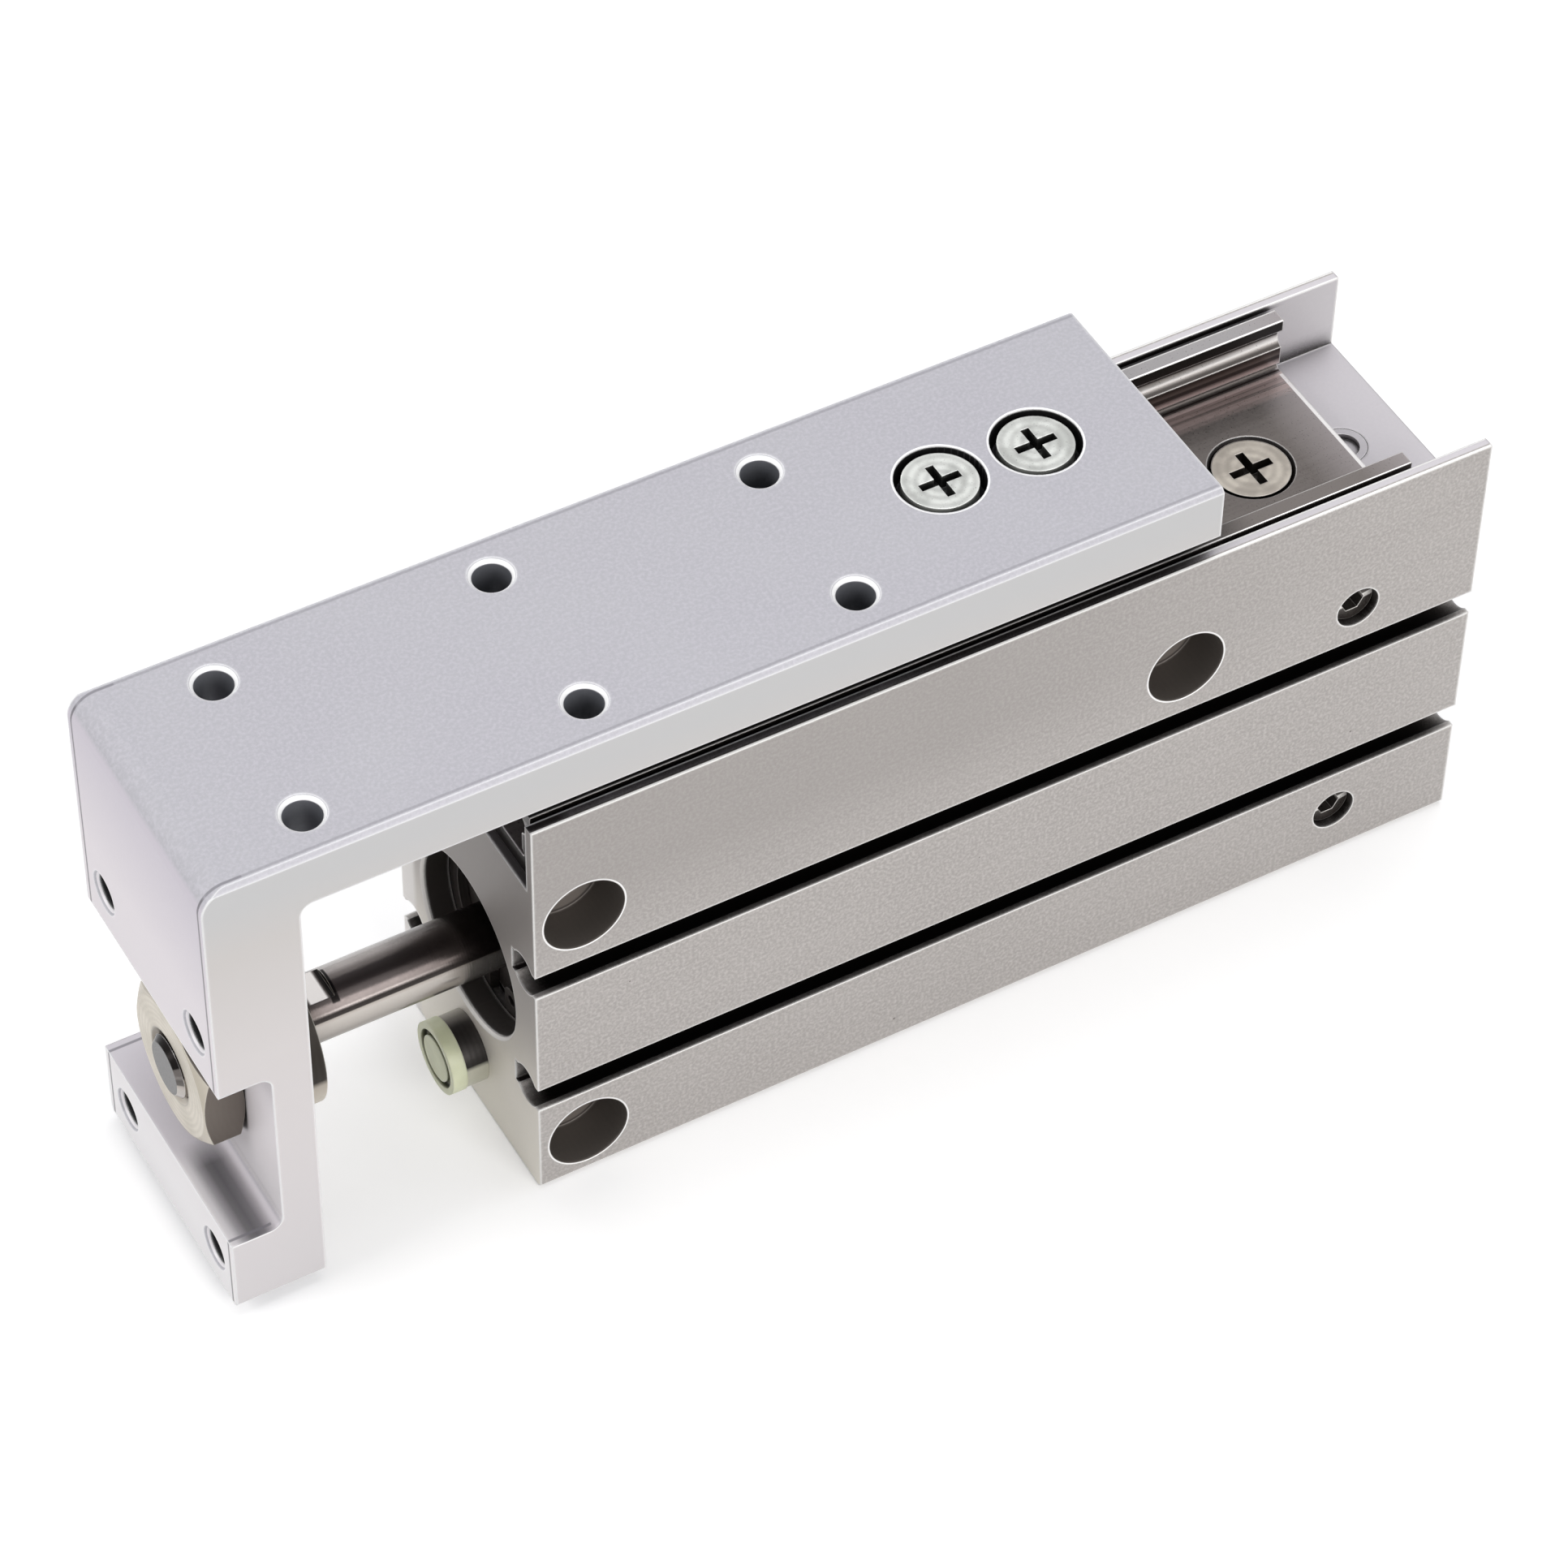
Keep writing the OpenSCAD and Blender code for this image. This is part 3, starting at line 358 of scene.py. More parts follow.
bodyLook = dict(
    plainMetal, colour=tone(169, 164, 161), cloudColour=tone(162, 157, 154), lineColour=tone(146, 141, 138),
    grainColour=tone(198, 194, 191), highlightColour=tone(252, 251, 249), lineLength=14.0, lineFineness=1400.0,
    grainScale=3200.0, lineAmount=0.3, grainAmount=0.7, specks=(260.0, 0.035, 0.7),
    speckColour=tone(84, 78, 74), metallic=0.25, rough=0.5, lineBump=0.22, edgeRadius=0.4 * mm,
    edgeStrength=8.0, highlightAmount=0.95,
    recessReach=5 * mm, recessFrom=0.56, recessTo=0.72, recessAmount=1.0, recessColour=tone(36, 32, 31),
    gapReach=6 * mm, gapFrom=0.45, gapTo=0.85, gapAbove=44.6 * mm, gapAmount=1.0,
    wallColour=tone(206, 203, 207), channelColour=tone(212, 208, 213), mouthColour=tone(58, 52, 50),
    shadeColour=tone(148, 143, 140), litColour=tone(236, 233, 230), lipHighlight=tone(246, 244, 240),
    boreShade=tone(56, 51, 48), holeShade=tone(96, 90, 85), holeLight=tone(130, 122, 116),
    holeRimShade=tone(52, 47, 45), topLine=tone(250, 249, 247), holeRadius=3.75 * mm,
    frontFall=((0.0, tone(246, 242, 231)), (0.25, tone(234, 229, 219)), (0.45, tone(178, 173, 168)),
               (0.6, tone(154, 149, 145)), (1.0, tone(144, 139, 135))))
frontX, rearX = bodyHigh.x - 4.7 * mm, bodyLow.x + 29.9 * mm
upperZ, lowerZ = railLow.z - 4.5 * mm, bodyLow.z + 5 * mm
sideHoleSpots = [(frontX, upperZ), (rearX, upperZ), (frontX, lowerZ)]
channelHalf = railHigh.y + 0.65 * mm   # the channel leaves a thin gap beside the rail


def paintBody(tree, place, colour):
    look = bodyLook
    x, y, z = axes(tree, place)
    sideways = maths(tree, "ABSOLUTE", y)
    endFace, sideFace, flatFace = facing(tree, "X"), facing(tree, "Y"), facing(tree, "Z")
    # the channel's floor and walls are a little cooler than the sides, with painted shade at the front end
    # under the table
    inChannel = product(tree, band(tree, z, railLow.z - 0.2 * mm, bodyHigh.z + 1 * mm), rest(tree, endFace),
                        below(tree, sideways, bodyHigh.y - 0.3 * mm))
    cool = mixColour(tree, look["wallColour"], look["channelColour"], flatFace)
    colour = mixColour(tree, colour, cool, inChannel, 0.85)
    colour = mixColour(tree, colour, look["mouthColour"], inChannel,
                       above(tree, x, railHigh.x - 3 * mm, 1 * mm), 0.9)
    # painted shade: the near side darkens a little upwards and towards the front
    upwards = scaled(tree, z, 0.0, 0.55, 26 * mm, 36 * mm)
    forwards = scaled(tree, x, 0.1, 1.0, bodyLow.x + 12 * mm, 6 * mm)
    colour = mixColour(tree, colour, look["shadeColour"], sideFace, upwards, forwards)
    # painted shade: the front face is in the shade of the table, least so near its foot, and a strip along its
    # far side is painted lit
    fall = ramp(tree, scaled(tree, z, 0.0, 1.0, 0.0, bodyHigh.z), look["frontFall"])
    lit = mixColour(tree, fall, look["litColour"], below(tree, y, -9.6 * mm, 0.8 * mm))
    colour = mixColour(tree, colour, lit, endFace, above(tree, x, 0.0), 0.85)
    # painted shade inside the bore, and a painted highlight on its lip
    far = fromAxes(tree, place, "X", rodAxis)
    lip = band(tree, far, recessRadius + 0.1 * mm, recessRadius + 0.4 * mm, 0.03 * mm)
    colour = mixColour(tree, colour, look["lipHighlight"], lip, rest(tree, facing(tree, "X", 0.9, 0.99)))
    colour = mixColour(tree, colour, look["boreShade"], below(tree, far, recessRadius + 0.08 * mm, crisp))
    # painted shade inside the holes in the near side, lighter on faces that look along Y, with a painted
    # highlight ring round each
    holes = fromAxes(tree, place, "Y", sideHoleSpots)
    nearSide = above(tree, y, 2 * mm)
    inside = mixColour(tree, look["holeShade"], look["holeLight"], sideFace)
    holed = boredHoles(tree, colour, holes, look["holeRadius"], inside, look["holeRimShade"])
    colour = mixColour(tree, colour, holed, nearSide)
    inHoles = product(tree, below(tree, holes, look["holeRadius"] + 0.02 * mm, crisp), nearSide)
    # painted highlights: bright lines along both edges of each wall top
    edgeLines = largest(tree, above(tree, sideways, bodyHigh.y - 0.22 * mm, 0.03 * mm),
                        band(tree, sideways, channelHalf - 0.01 * mm, channelHalf + 0.16 * mm, 0.03 * mm))
    topLines = product(tree, edgeLines, above(tree, z, bodyHigh.z - 0.05 * mm, crisp))
    floorRear = product(tree, below(tree, x, railLow.x + 0.5 * mm, 2 * mm), inChannel, flatFace)
    kept = largest(tree, inHoles, product(tree, topLines, 0.8), product(tree, floorRear, 0.85))
    return mixColour(tree, colour, look["topLine"], topLines), kept


dress(metalFinish("bodyAnodised", bodyLook, paintBody), "body")

tableLook = dict(
    plainMetal, colour=tone(178, 177, 183), cloudColour=tone(174, 172, 180), lineColour=tone(170, 168, 175),
    grainColour=tone(196, 194, 201), highlightColour=tone(252, 252, 253), lineAmount=0.12, grainAmount=0.6,
    grainScale=3000.0, metallic=0.25, rough=0.52, lineBump=0.04, grainBump=0.25, edgeRadius=0.4 * mm,
    edgeStrength=8.0, highlightAmount=0.95, recessReach=3 * mm, recessFrom=0.52, recessTo=0.8, recessAmount=1.0,
    recessColour=tone(38, 37, 40), gapReach=0.9 * mm, gapAbove=1 * mm, gapAmount=0.9,
    topHole=tone(112, 114, 120), topRim=tone(16, 16, 19), frontHole=tone(52, 49, 52), frontRim=tone(22, 20, 22),
    frontGlint=tone(238, 235, 238), screwHole=tone(14, 13, 14), topLine=tone(118, 116, 123),
    frontLine=tone(84, 80, 86), slotColour=tone(206, 202, 208), tapRadius=1.65 * mm, screwHoleRadius=3.95 * mm,
    frontFall=((0.1, tone(234, 232, 233)), (0.3, tone(222, 217, 219)), (0.7, tone(220, 214, 218)),
               (0.95, tone(199, 193, 202))),
    sideFall=((0.1, tone(213, 209, 210)), (0.4, tone(214, 209, 209)), (0.6, tone(212, 207, 206)),
              (0.85, tone(200, 196, 193)), (0.95, tone(194, 194, 194))),
    slotFall=((0.0, tone(160, 156, 160)), (0.06, tone(214, 209, 214)), (0.16, tone(196, 191, 196)),
              (0.36, tone(124, 121, 125)), (0.5, tone(102, 100, 104)), (0.62, tone(112, 110, 113)),
              (0.76, tone(160, 157, 161)), (0.88, tone(210, 207, 210)), (1.0, tone(226, 223, 225))))
tableHoles = dict(firstX=tableHigh.x - 11 * mm, pitchX=25 * mm, topY=8 * mm, frontY=8.5 * mm,
                  frontZ=(5 * mm, axisZ + 13.7 * mm))
topHoleSpots = [(tableHoles["firstX"] - step * tableHoles["pitchX"], side * tableHoles["topY"])
                for step in range(3) for side in (-1, 1)]
frontHoleSpots = [(side * tableHoles["frontY"], height) for side in (-1, 1) for height in tableHoles["frontZ"]]
slotDepth = 5 * mm                     # of the nut slot, back from the front face


def paintTable(tree, place, colour):
    look = tableLook
    x, y, z = axes(tree, place)
    # painted light and shade: end faces and sides are warmer than the top, and lighter towards the foot
    height = scaled(tree, z, 0.0, 1.0, 0.0, tableHigh.z)
    colour = mixColour(tree, colour, ramp(tree, height, look["frontFall"]), facing(tree, "X"), 0.9)
    colour = mixColour(tree, colour, ramp(tree, height, look["sideFall"]), facing(tree, "Y"), 0.9)
    # painted shade: the floor of the nut slot darkens towards its inner corner
    slotFloor = product(tree, band(tree, z, 8 * mm, 11 * mm), facing(tree, "Z", 0.3, 0.7),
                        band(tree, x, tableHigh.x - slotDepth - 1 * mm, tableHigh.x))
    fall = ramp(tree, scaled(tree, x, 0.0, 1.0, tableHigh.x - slotDepth, tableHigh.x), look["slotFall"])
    floor = mixColour(tree, fall, look["slotColour"], below(tree, y, 3.5 * mm, 3 * mm))
    colour = mixColour(tree, colour, floor, slotFloor)
    # painted shade and highlight rings for the tapped holes in the top and in the front face, and the
    # counterbores of the two screws
    topHoles = fromAxes(tree, place, "Z", topHoleSpots)
    colour = boredHoles(tree, colour, topHoles, look["tapRadius"], look["topHole"], look["topRim"],
                        facet=0.32 * mm)
    frontHoles = fromAxes(tree, place, "X", frontHoleSpots)
    drilled = boredHoles(tree, colour, frontHoles, look["tapRadius"], look["frontHole"], look["frontRim"],
                         look["frontGlint"], 0.22 * mm)
    colour = mixColour(tree, colour, drilled, above(tree, x, tableHigh.x - 8.5 * mm))
    screws = fromAxes(tree, place, "Z", rowAlongX("table_screws", 2))
    sunk = boredHoles(tree, colour, screws, look["screwHoleRadius"], look["screwHole"], look["screwHole"],
                      facet=0.2 * mm)
    onTop = above(tree, z, tableHigh.z - 5.4 * mm)
    colour = mixColour(tree, colour, sunk, onTop)
    # a thin dark line runs just inside the long edges of the top and of the front face
    frontFace = facing(tree, "X", 0.6, 0.8)
    nearEdge = band(tree, maths(tree, "ABSOLUTE", y), tableHigh.y - 0.9 * mm, tableHigh.y - 0.55 * mm,
                    0.08 * mm)
    turned = largest(tree, facing(tree, "Z", 0.6, 0.8), frontFace)
    outside = largest(tree, above(tree, z, tableHigh.z - 0.05 * mm), above(tree, x, tableHigh.x - 4 * mm))
    line = mixColour(tree, look["topLine"], look["frontLine"], frontFace)
    colour = mixColour(tree, colour, line, nearEdge, turned, outside, 0.75)
    inHoles = product(tree, below(tree, topHoles, look["tapRadius"] + 0.02 * mm, crisp), onTop)
    return colour, largest(tree, slotFloor, inHoles)


dress(metalFinish("tableAnodised", tableLook, paintTable), "table")

railLook = dict(
    plainMetal, colour=tone(112, 106, 103), cloudColour=tone(102, 96, 93), lineColour=tone(88, 81, 78),
    grainColour=tone(130, 123, 119), highlightColour=tone(238, 235, 233), lineLength=8.0, lineFineness=3200.0,
    lineAmount=0.5, metallic=0.7, rough=0.34, roughSpread=0.08, lineBump=0.2, grainBump=0.05,
    edgeRadius=0.2 * mm, edgeStrength=9.0, highlightAmount=0.85, recessAmount=0.0, recessColour=tone(40, 33, 30),
    nearTop=tone(116, 110, 107), farTop=tone(160, 157, 158), floorColour=tone(158, 151, 152),
    sunkColour=tone(22, 18, 17), reflectionDark=tone(56, 42, 40), reflectionLight=tone(186, 166, 162),
    footShade=tone(46, 33, 32), footHighlight=tone(206, 190, 187), topShade=tone(30, 26, 25),
    topLine=tone(248, 246, 245), wall=1.5 * mm, trackLow=4.45 * mm, trackHigh=6.55 * mm,
    screwHoleRadius=3.93 * mm,
    wallFall=((0.2, tone(120, 105, 104)), (0.25, tone(206, 190, 188)), (0.33, tone(220, 203, 201)),
              (0.385, tone(156, 142, 140)), (0.43, tone(50, 40, 38)), (0.47, tone(46, 37, 35)),
              (0.49, tone(92, 82, 78)), (0.55, tone(50, 38, 34)), (0.75, tone(30, 24, 22)),
              (0.95, tone(26, 22, 20))),
    trackReflection=((0.3, tone(18, 14, 12)), (0.45, tone(30, 24, 22)), (0.5, tone(110, 106, 104)),
            (0.56, tone(186, 182, 179)), (0.64, tone(214, 210, 208)), (0.74, tone(214, 211, 209)),
            (0.82, tone(150, 145, 142)), (0.9, tone(92, 87, 84)), (1.0, tone(64, 58, 55))))


def paintRail(tree, place, colour):
    look = railLook
    inner = railHigh.y - look["wall"]
    x, y, z = axes(tree, place)
    sideways = maths(tree, "ABSOLUTE", y)
    endFace, flatFace = facing(tree, "X"), facing(tree, "Z")
    farSide = below(tree, y, 0.0)
    # ground tops of the walls, the near one painted in shade and the far one painted lighter
    top = product(tree, above(tree, z, railHigh.z - 0.05 * mm, crisp),
                  above(tree, sideways, inner - 0.03 * mm, crisp))
    colour = mixColour(tree, colour, mixColour(tree, look["nearTop"], look["farTop"], farSide), top)
    # painted light and shade on the inner walls: light at the foot, dark above the ball track
    upright = product(tree, facing(tree, "Y", 0.9, 0.98),
                      band(tree, sideways, inner - 0.2 * mm, inner + 0.1 * mm, crisp))
    height = scaled(tree, z, 0.0, 1.0, railLow.z, railHigh.z)
    colour = mixColour(tree, colour, ramp(tree, height, look["wallFall"]), upright)
    # painted light: the floor grows lighter towards the rear end
    rearward = scaled(tree, x, 0.75, 0.0, railLow.x, railLow.x + 4.5 * mm)
    colour = mixColour(tree, colour, look["floorColour"], rearward, flatFace)
    # the front end lies in the dark under the table, and so does the gap round each screw
    screws = fromAxes(tree, place, "Z", rowAlongX("rail_screws", 3))
    sunk = product(tree, below(tree, screws, look["screwHoleRadius"], 0.03 * mm),
                   rest(tree, facing(tree, "Z", 0.9, 0.99)))
    ended = product(tree, endFace, above(tree, x, 0.0), 0.8)
    colour = mixColour(tree, colour, look["sunkColour"], largest(tree, sunk, ended))
    # painted reflection on the ball track: its upper half dark, its lower half bright
    inTrack = product(tree, band(tree, z, railLow.z + look["trackLow"], railLow.z + look["trackHigh"], crisp),
                      band(tree, sideways, inner + 0.02 * mm, inner + 1.2 * mm, crisp))
    upwards = axes(tree, tree.nodes["place"].outputs["Normal"])[2]
    trackReflection = ramp(tree, scaled(tree, upwards, 0.0, 1.0, -1.0, 1.0), look["trackReflection"])
    colour = mixColour(tree, colour, trackReflection, inTrack)
    # painted reflections: faint light and dark streaks along the foot of the far wall, then a painted shade
    # line and a painted highlight line
    streaks = effect(tree, "lines", {"Vector": place, "Length": 12.0, "Fineness": 1500.0})["Lines"]
    onFloor = product(tree, farSide, flatFace)
    foot = product(tree, band(tree, sideways, inner - 3.2 * mm, inner - 0.2 * mm, 1 * mm), onFloor)
    colour = mixColour(tree, colour, look["reflectionDark"], foot, scaled(tree, streaks, 0.85, 0.0, 0.34, 0.5))
    colour = mixColour(tree, colour, look["reflectionLight"], foot, scaled(tree, streaks, 0.0, 0.75, 0.42, 0.62))
    colour = mixColour(tree, colour, look["footShade"], onFloor,
                       band(tree, sideways, inner - 0.25 * mm, inner - 0.02 * mm, 0.05 * mm), 0.85)
    colour = mixColour(tree, colour, look["footHighlight"], onFloor,
                       band(tree, sideways, inner - 0.85 * mm, inner - 0.35 * mm), 0.7)
    # painted shade: under the table the wall tops are nearly black
    under = effect(tree, "gap", {"Reach": 8 * mm, "From": 0.6, "To": 0.92})["Mask"]
    dimTop = product(tree, top, scaled(tree, under, 0.0, 0.95))
    colour = mixColour(tree, colour, look["topShade"], dimTop)
    # painted highlights: thin bright lines along both edges of the far wall's top, the outer edge of the near
    # one and the rear end
    innerLine = product(tree, band(tree, sideways, inner - 0.03 * mm, inner + 0.17 * mm, 0.03 * mm), farSide)
    edgeLines = largest(tree, above(tree, sideways, railHigh.y - 0.14 * mm, 0.03 * mm), innerLine)
    topLines = product(tree, edgeLines, top, 0.9, scaled(tree, under, 1.0, 0.3))
    rearLine = product(tree, below(tree, x, railLow.x + 0.4 * mm, 0.04 * mm), flatFace,
                       below(tree, sideways, inner - 0.6 * mm))
    topLines = largest(tree, topLines, product(tree, rearLine, 0.8))
    kept = largest(tree, product(tree, topLines, 0.8), dimTop)
    return mixColour(tree, colour, look["topLine"], topLines), kept


dress(metalFinish("railSteel", railLook, paintRail), "guide_rail")

blockLook = dict(
    plainMetal, colour=tone(132, 128, 125), cloudColour=tone(122, 118, 114), lineColour=tone(100, 96, 93),
    grainColour=tone(150, 146, 142), metallic=0.7, rough=0.3, lineAmount=0.4, recessColour=tone(40, 34, 32))
dress(metalFinish("blockSteel", blockLook), "guide_block")

print("body, rail and table dressed")


# ---------- plugs ----------

plugLook = dict(
    plainMetal, colour=tone(72, 67, 64), cloudColour=tone(62, 58, 55), lineColour=tone(56, 52, 49),
    grainColour=tone(120, 114, 109), highlightColour=tone(240, 237, 232), metallic=0.6, rough=0.32,
    edgeRadius=0.14 * mm, edgeStrength=6.0, highlightAmount=0.9, recessReach=1.2 * mm, recessFrom=0.45, recessTo=0.8,
    recessAmount=0.95, recessColour=tone(20, 16, 15), gapAmount=0.0)
channelPlugLook = dict(
    plugLook, colour=tone(196, 192, 196), cloudColour=tone(186, 182, 186), lineColour=tone(170, 166, 170),
    grainColour=tone(206, 202, 206), metallic=0.3, rough=0.45, highlightColour=tone(252, 251, 251))
dress(metalFinish("plugBright", channelPlugLook), "floor_plug")

portPlugLook = dict(plugLook, slant=0.16, streakHalf=0.34 * mm, reflectionColour=tone(236, 233, 229))
plugsLow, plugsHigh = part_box("port_plugs")


def paintPortPlugs(tree, place, colour):  # a painted reflection: a bright streak runs across each plug
    look = portPlugLook
    x, z = axes(tree, place)[::2]
    radius = (plugsHigh.x - plugsLow.x) / 2
    slant = product(tree, maths(tree, "SUBTRACT", x, plugsLow.x + radius), look["slant"])
    height = maths(tree, "ADD", z, slant)
    half = look["streakHalf"]
    streak = largest(tree, *[band(tree, height, centre - half, centre + half, 0.12 * mm)
                             for centre in (plugsLow.z + radius, plugsHigh.z - radius)])
    return mixColour(tree, colour, look["reflectionColour"], streak), product(tree, streak, 0.9)


dress(metalFinish("plugBlack", portPlugLook, paintPortPlugs), "port_plugs")
dress(metalFinish("plugSteel", plugLook), "drilling_plugs", "piston_nut", "end_cap_screws")

print("plugs dressed")


# ---------- screws, rod, collar, nut and covers ----------

def turnedFinish(name, look, spots, along="X", paint=None):
    # rings around straight axes along X or Z, for what was turned, ground, plated or chromed
    material, tree, shader, place = newMaterial(name)
    grain = effect(tree, "grain", {"Vector": place, "Grain Scale": look["grainScale"],
                                   "Cloud Scale": look["cloudScale"]})
    far = fromAxes(tree, place, along, spots)
    if along == "X":                   # the rings go on along a rod's side
        far = maths(tree, "ADD", axes(tree, place)[0], far)
    wave = maths(tree, "SINE", product(tree, far, 2 * math.pi / look["ringPitch"]))
    edge, recess = edgeAndRecess(tree, look)
    colour = mixColour(tree, look["colour"], look["cloudColour"],
                       scaled(tree, grain["Cloud"], 0.0, 1.0, look["cloudFrom"], look["cloudTo"]))
    colour = mixColour(tree, colour, look["ringColour"], scaled(tree, wave, 0.0, look["ringAmount"], -1.0, 1.0))
    if paint:
        colour = paint(tree, place, colour)
    # painted highlight along the edges
    colour = mixColour(tree, colour, look["highlightColour"], scaled(tree, edge["Mask"], 0.0, look["highlightAmount"]))
    # painted shade in recesses
    paintedShade = scaled(tree, recess, 0.0, look["recessAmount"])
    feed(tree, shader, {
        "Base Color": mixColour(tree, colour, look["recessColour"], paintedShade),
        "Roughness": scaled(tree, grain["Grain"], look["rough"] - look["roughLess"],
                            look["rough"] + look["roughMore"], 0.3, 0.7),
        "Metallic": look["metallic"],
        "Specular IOR Level": look["specular"],
        "Normal": bumpFrom(tree, wave, look["ringBump"], look["bumpDepth"], edge["Normal"])})
    return material


turnedMetal = dict(
    grainScale=4000.0, cloudFrom=0.38, cloudTo=0.62, edgeStrength=3.0, recessFrom=0.3, recessTo=0.9,
    roughLess=0.04, roughMore=0.05, bumpDepth=0.006 * mm, specular=0.5)
screwLook = dict(
    turnedMetal, grainScale=5000.0, cloudScale=500.0, cloudFrom=0.4, cloudTo=0.6, ringPitch=0.9 * mm,
    ringAmount=0.4, ringBump=0.25, bumpDepth=0.01 * mm, edgeRadius=0.15 * mm, highlightAmount=0.7,
    recessReach=1.8 * mm, recessFrom=0.5, recessAmount=0.95, roughLess=0.06, roughMore=0.06, metallic=0.5)

railScrewLook = dict(
    screwLook, colour=tone(206, 198, 186), cloudColour=tone(178, 170, 160), ringColour=tone(150, 142, 133),
    highlightColour=tone(246, 242, 236), recessColour=tone(24, 17, 15), rough=0.34)
dress(turnedFinish("railScrewPlated", railScrewLook, rowAlongX("rail_screws", 3), "Z"), "rail_screws")

tableScrewLook = dict(
    screwLook, colour=tone(222, 224, 220), cloudColour=tone(190, 192, 188), ringColour=tone(150, 150, 148),
    highlightColour=tone(252, 254, 252), recessColour=tone(16, 16, 14), rough=0.32)
dress(turnedFinish("tableScrewPlated", tableScrewLook, rowAlongX("table_screws", 2), "Z"), "table_screws")


def paintRoundShading(stops):  # painted light, shade and reflections that follow a cylinder round, leaving its end faces alone
    def paint(tree, place, colour):
        side = rest(tree, facing(tree, "X", 0.6, 0.9))
        return mixColour(tree, colour, ramp(tree, across(tree), stops), side, 0.95)
    return paint


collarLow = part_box("rod_collar")[0]
neckX = collarLow.x - 3.7 * mm         # the rear shoulder of the rod's neck

rodLook = dict(
    turnedMetal, colour=tone(170, 166, 162), cloudColour=tone(150, 146, 142), ringColour=tone(120, 114, 112),
    ringAmount=0.2, ringPitch=0.25 * mm, ringBump=0.06, cloudScale=200.0, highlightColour=tone(236, 234, 230),
    highlightAmount=0.7, edgeRadius=0.12 * mm, recessColour=tone(30, 26, 24), recessAmount=0.3, recessReach=2 * mm,
    rough=0.2, metallic=0.8, coverShade=tone(50, 44, 42), flatHighlight=tone(232, 228, 226),
    shoulderShade=tone(18, 14, 13))
# painted reflections round the rod, light and dark bands by facing
rodReflections = (
    (0.0, tone(140, 134, 128)), (0.06, tone(190, 184, 178)), (0.2, tone(206, 200, 193)),
    (0.235, tone(190, 182, 174)), (0.25, tone(46, 40, 38)), (0.3, tone(30, 25, 23)),
    (0.33, tone(140, 133, 131)), (0.36, tone(88, 81, 80)), (0.5, tone(104, 96, 95)), (0.56, tone(74, 66, 65)),
    (0.64, tone(74, 66, 65)), (0.73, tone(106, 99, 97)), (0.81, tone(132, 125, 123)),
    (0.87, tone(184, 177, 175)), (0.96, tone(210, 205, 202)))


def paintRod(tree, place, colour):
    colour = paintRoundShading(rodReflections)(tree, place, colour)
    x = axes(tree, place)[0]
    around = across(tree)
    # painted shade: its upper side is dark close to the cover and the collar
    close = effect(tree, "gap", {"Reach": 14 * mm, "From": 0.6, "To": 1.0})["Mask"]
    colour = mixColour(tree, colour, rodLook["coverShade"], close, scaled(tree, around, 0.3, 1.0, 0.24, 0.32))
    # painted highlight on the flats of the neck, between painted shade lines at their shoulders
    colour = mixColour(tree, colour, rodLook["flatHighlight"], facing(tree, "Z", 0.97, 0.995),
                       band(tree, x, neckX + 0.5 * mm, collarLow.x - 1.4 * mm, 0.2 * mm))
    shoulders = largest(tree, band(tree, x, neckX - 0.35 * mm, neckX + 0.45 * mm),
                        above(tree, x, collarLow.x - 1.3 * mm))
    return mixColour(tree, colour, rodLook["shoulderShade"], shoulders, band(tree, around, 0.42, 0.95, 0.02))


dress(turnedFinish("rodChromed", rodLook, rodAxis, paint=paintRod), "piston_rod")

nutLook = dict(
    turnedMetal, colour=tone(204, 197, 184), cloudColour=tone(190, 183, 169), ringColour=tone(168, 160, 146),
    ringAmount=0.35, ringPitch=0.55 * mm, ringBump=0.3, cloudScale=300.0, highlightColour=tone(248, 244, 234),
    highlightAmount=0.7, edgeRadius=0.2 * mm, recessColour=tone(28, 24, 18), recessAmount=0.8, recessReach=1.2 * mm,
    rough=0.34, metallic=0.6, threadShade=tone(60, 54, 48))
nutFlatShade = ((0.0, tone(92, 84, 78)), (0.3, tone(110, 102, 95)), (0.6, tone(130, 122, 114)),
            (0.9, tone(180, 173, 162)))
threadRadius = (rodHigh.y - rodLow.y) / 2 - 0.1 * mm


def paintNut(tree, place, colour):  # painted shade on the flats, and a painted shade ring round the rod's end
    colour = paintRoundShading(nutFlatShade)(tree, place, colour)
    ring = below(tree, fromAxes(tree, place, "X", rodAxis), threadRadius + 0.75 * mm, 0.3 * mm)
    return mixColour(tree, colour, nutLook["threadShade"], ring, facing(tree, "X"))


dress(turnedFinish("nutPlated", nutLook, rodAxis, paint=paintNut), "rod_nut")

# painted shade round the collar's side, with painted highlights at its lower near side and upper far side
collarLightAndShade = ((0.0, tone(206, 199, 187)), (0.075, tone(176, 168, 157)), (0.1, tone(22, 15, 13)),
              (0.7, tone(24, 17, 15)), (0.85, tone(104, 96, 90)), (1.0, tone(190, 182, 171)))
collarLook = dict(nutLook, metallic=0.15, rough=0.45, specular=0.12)
dress(turnedFinish("collarSteel", collarLook, rodAxis, paint=paintRoundShading(collarLightAndShade)), "rod_collar")

coverLook = dict(
    turnedMetal, colour=tone(70, 65, 62), cloudColour=tone(62, 57, 54), ringColour=tone(52, 47, 45),
    ringAmount=0.4, ringPitch=0.5 * mm, ringBump=0.4, cloudScale=200.0, highlightColour=tone(120, 114, 110),
    highlightAmount=0.4, edgeRadius=0.12 * mm, recessColour=tone(24, 20, 18), recessAmount=0.7,
    recessReach=2 * mm, rough=0.45, metallic=0.4)
dress(turnedFinish("coverAnodised", coverLook, rodAxis), "rod_cover", "head_cover")

pistonLook = dict(coverLook, colour=tone(200, 198, 196), cloudColour=tone(184, 182, 180),
                  ringColour=tone(160, 158, 156), rough=0.3)
dress(turnedFinish("pistonTurned", pistonLook, rodAxis), "piston_front", "piston_rear")

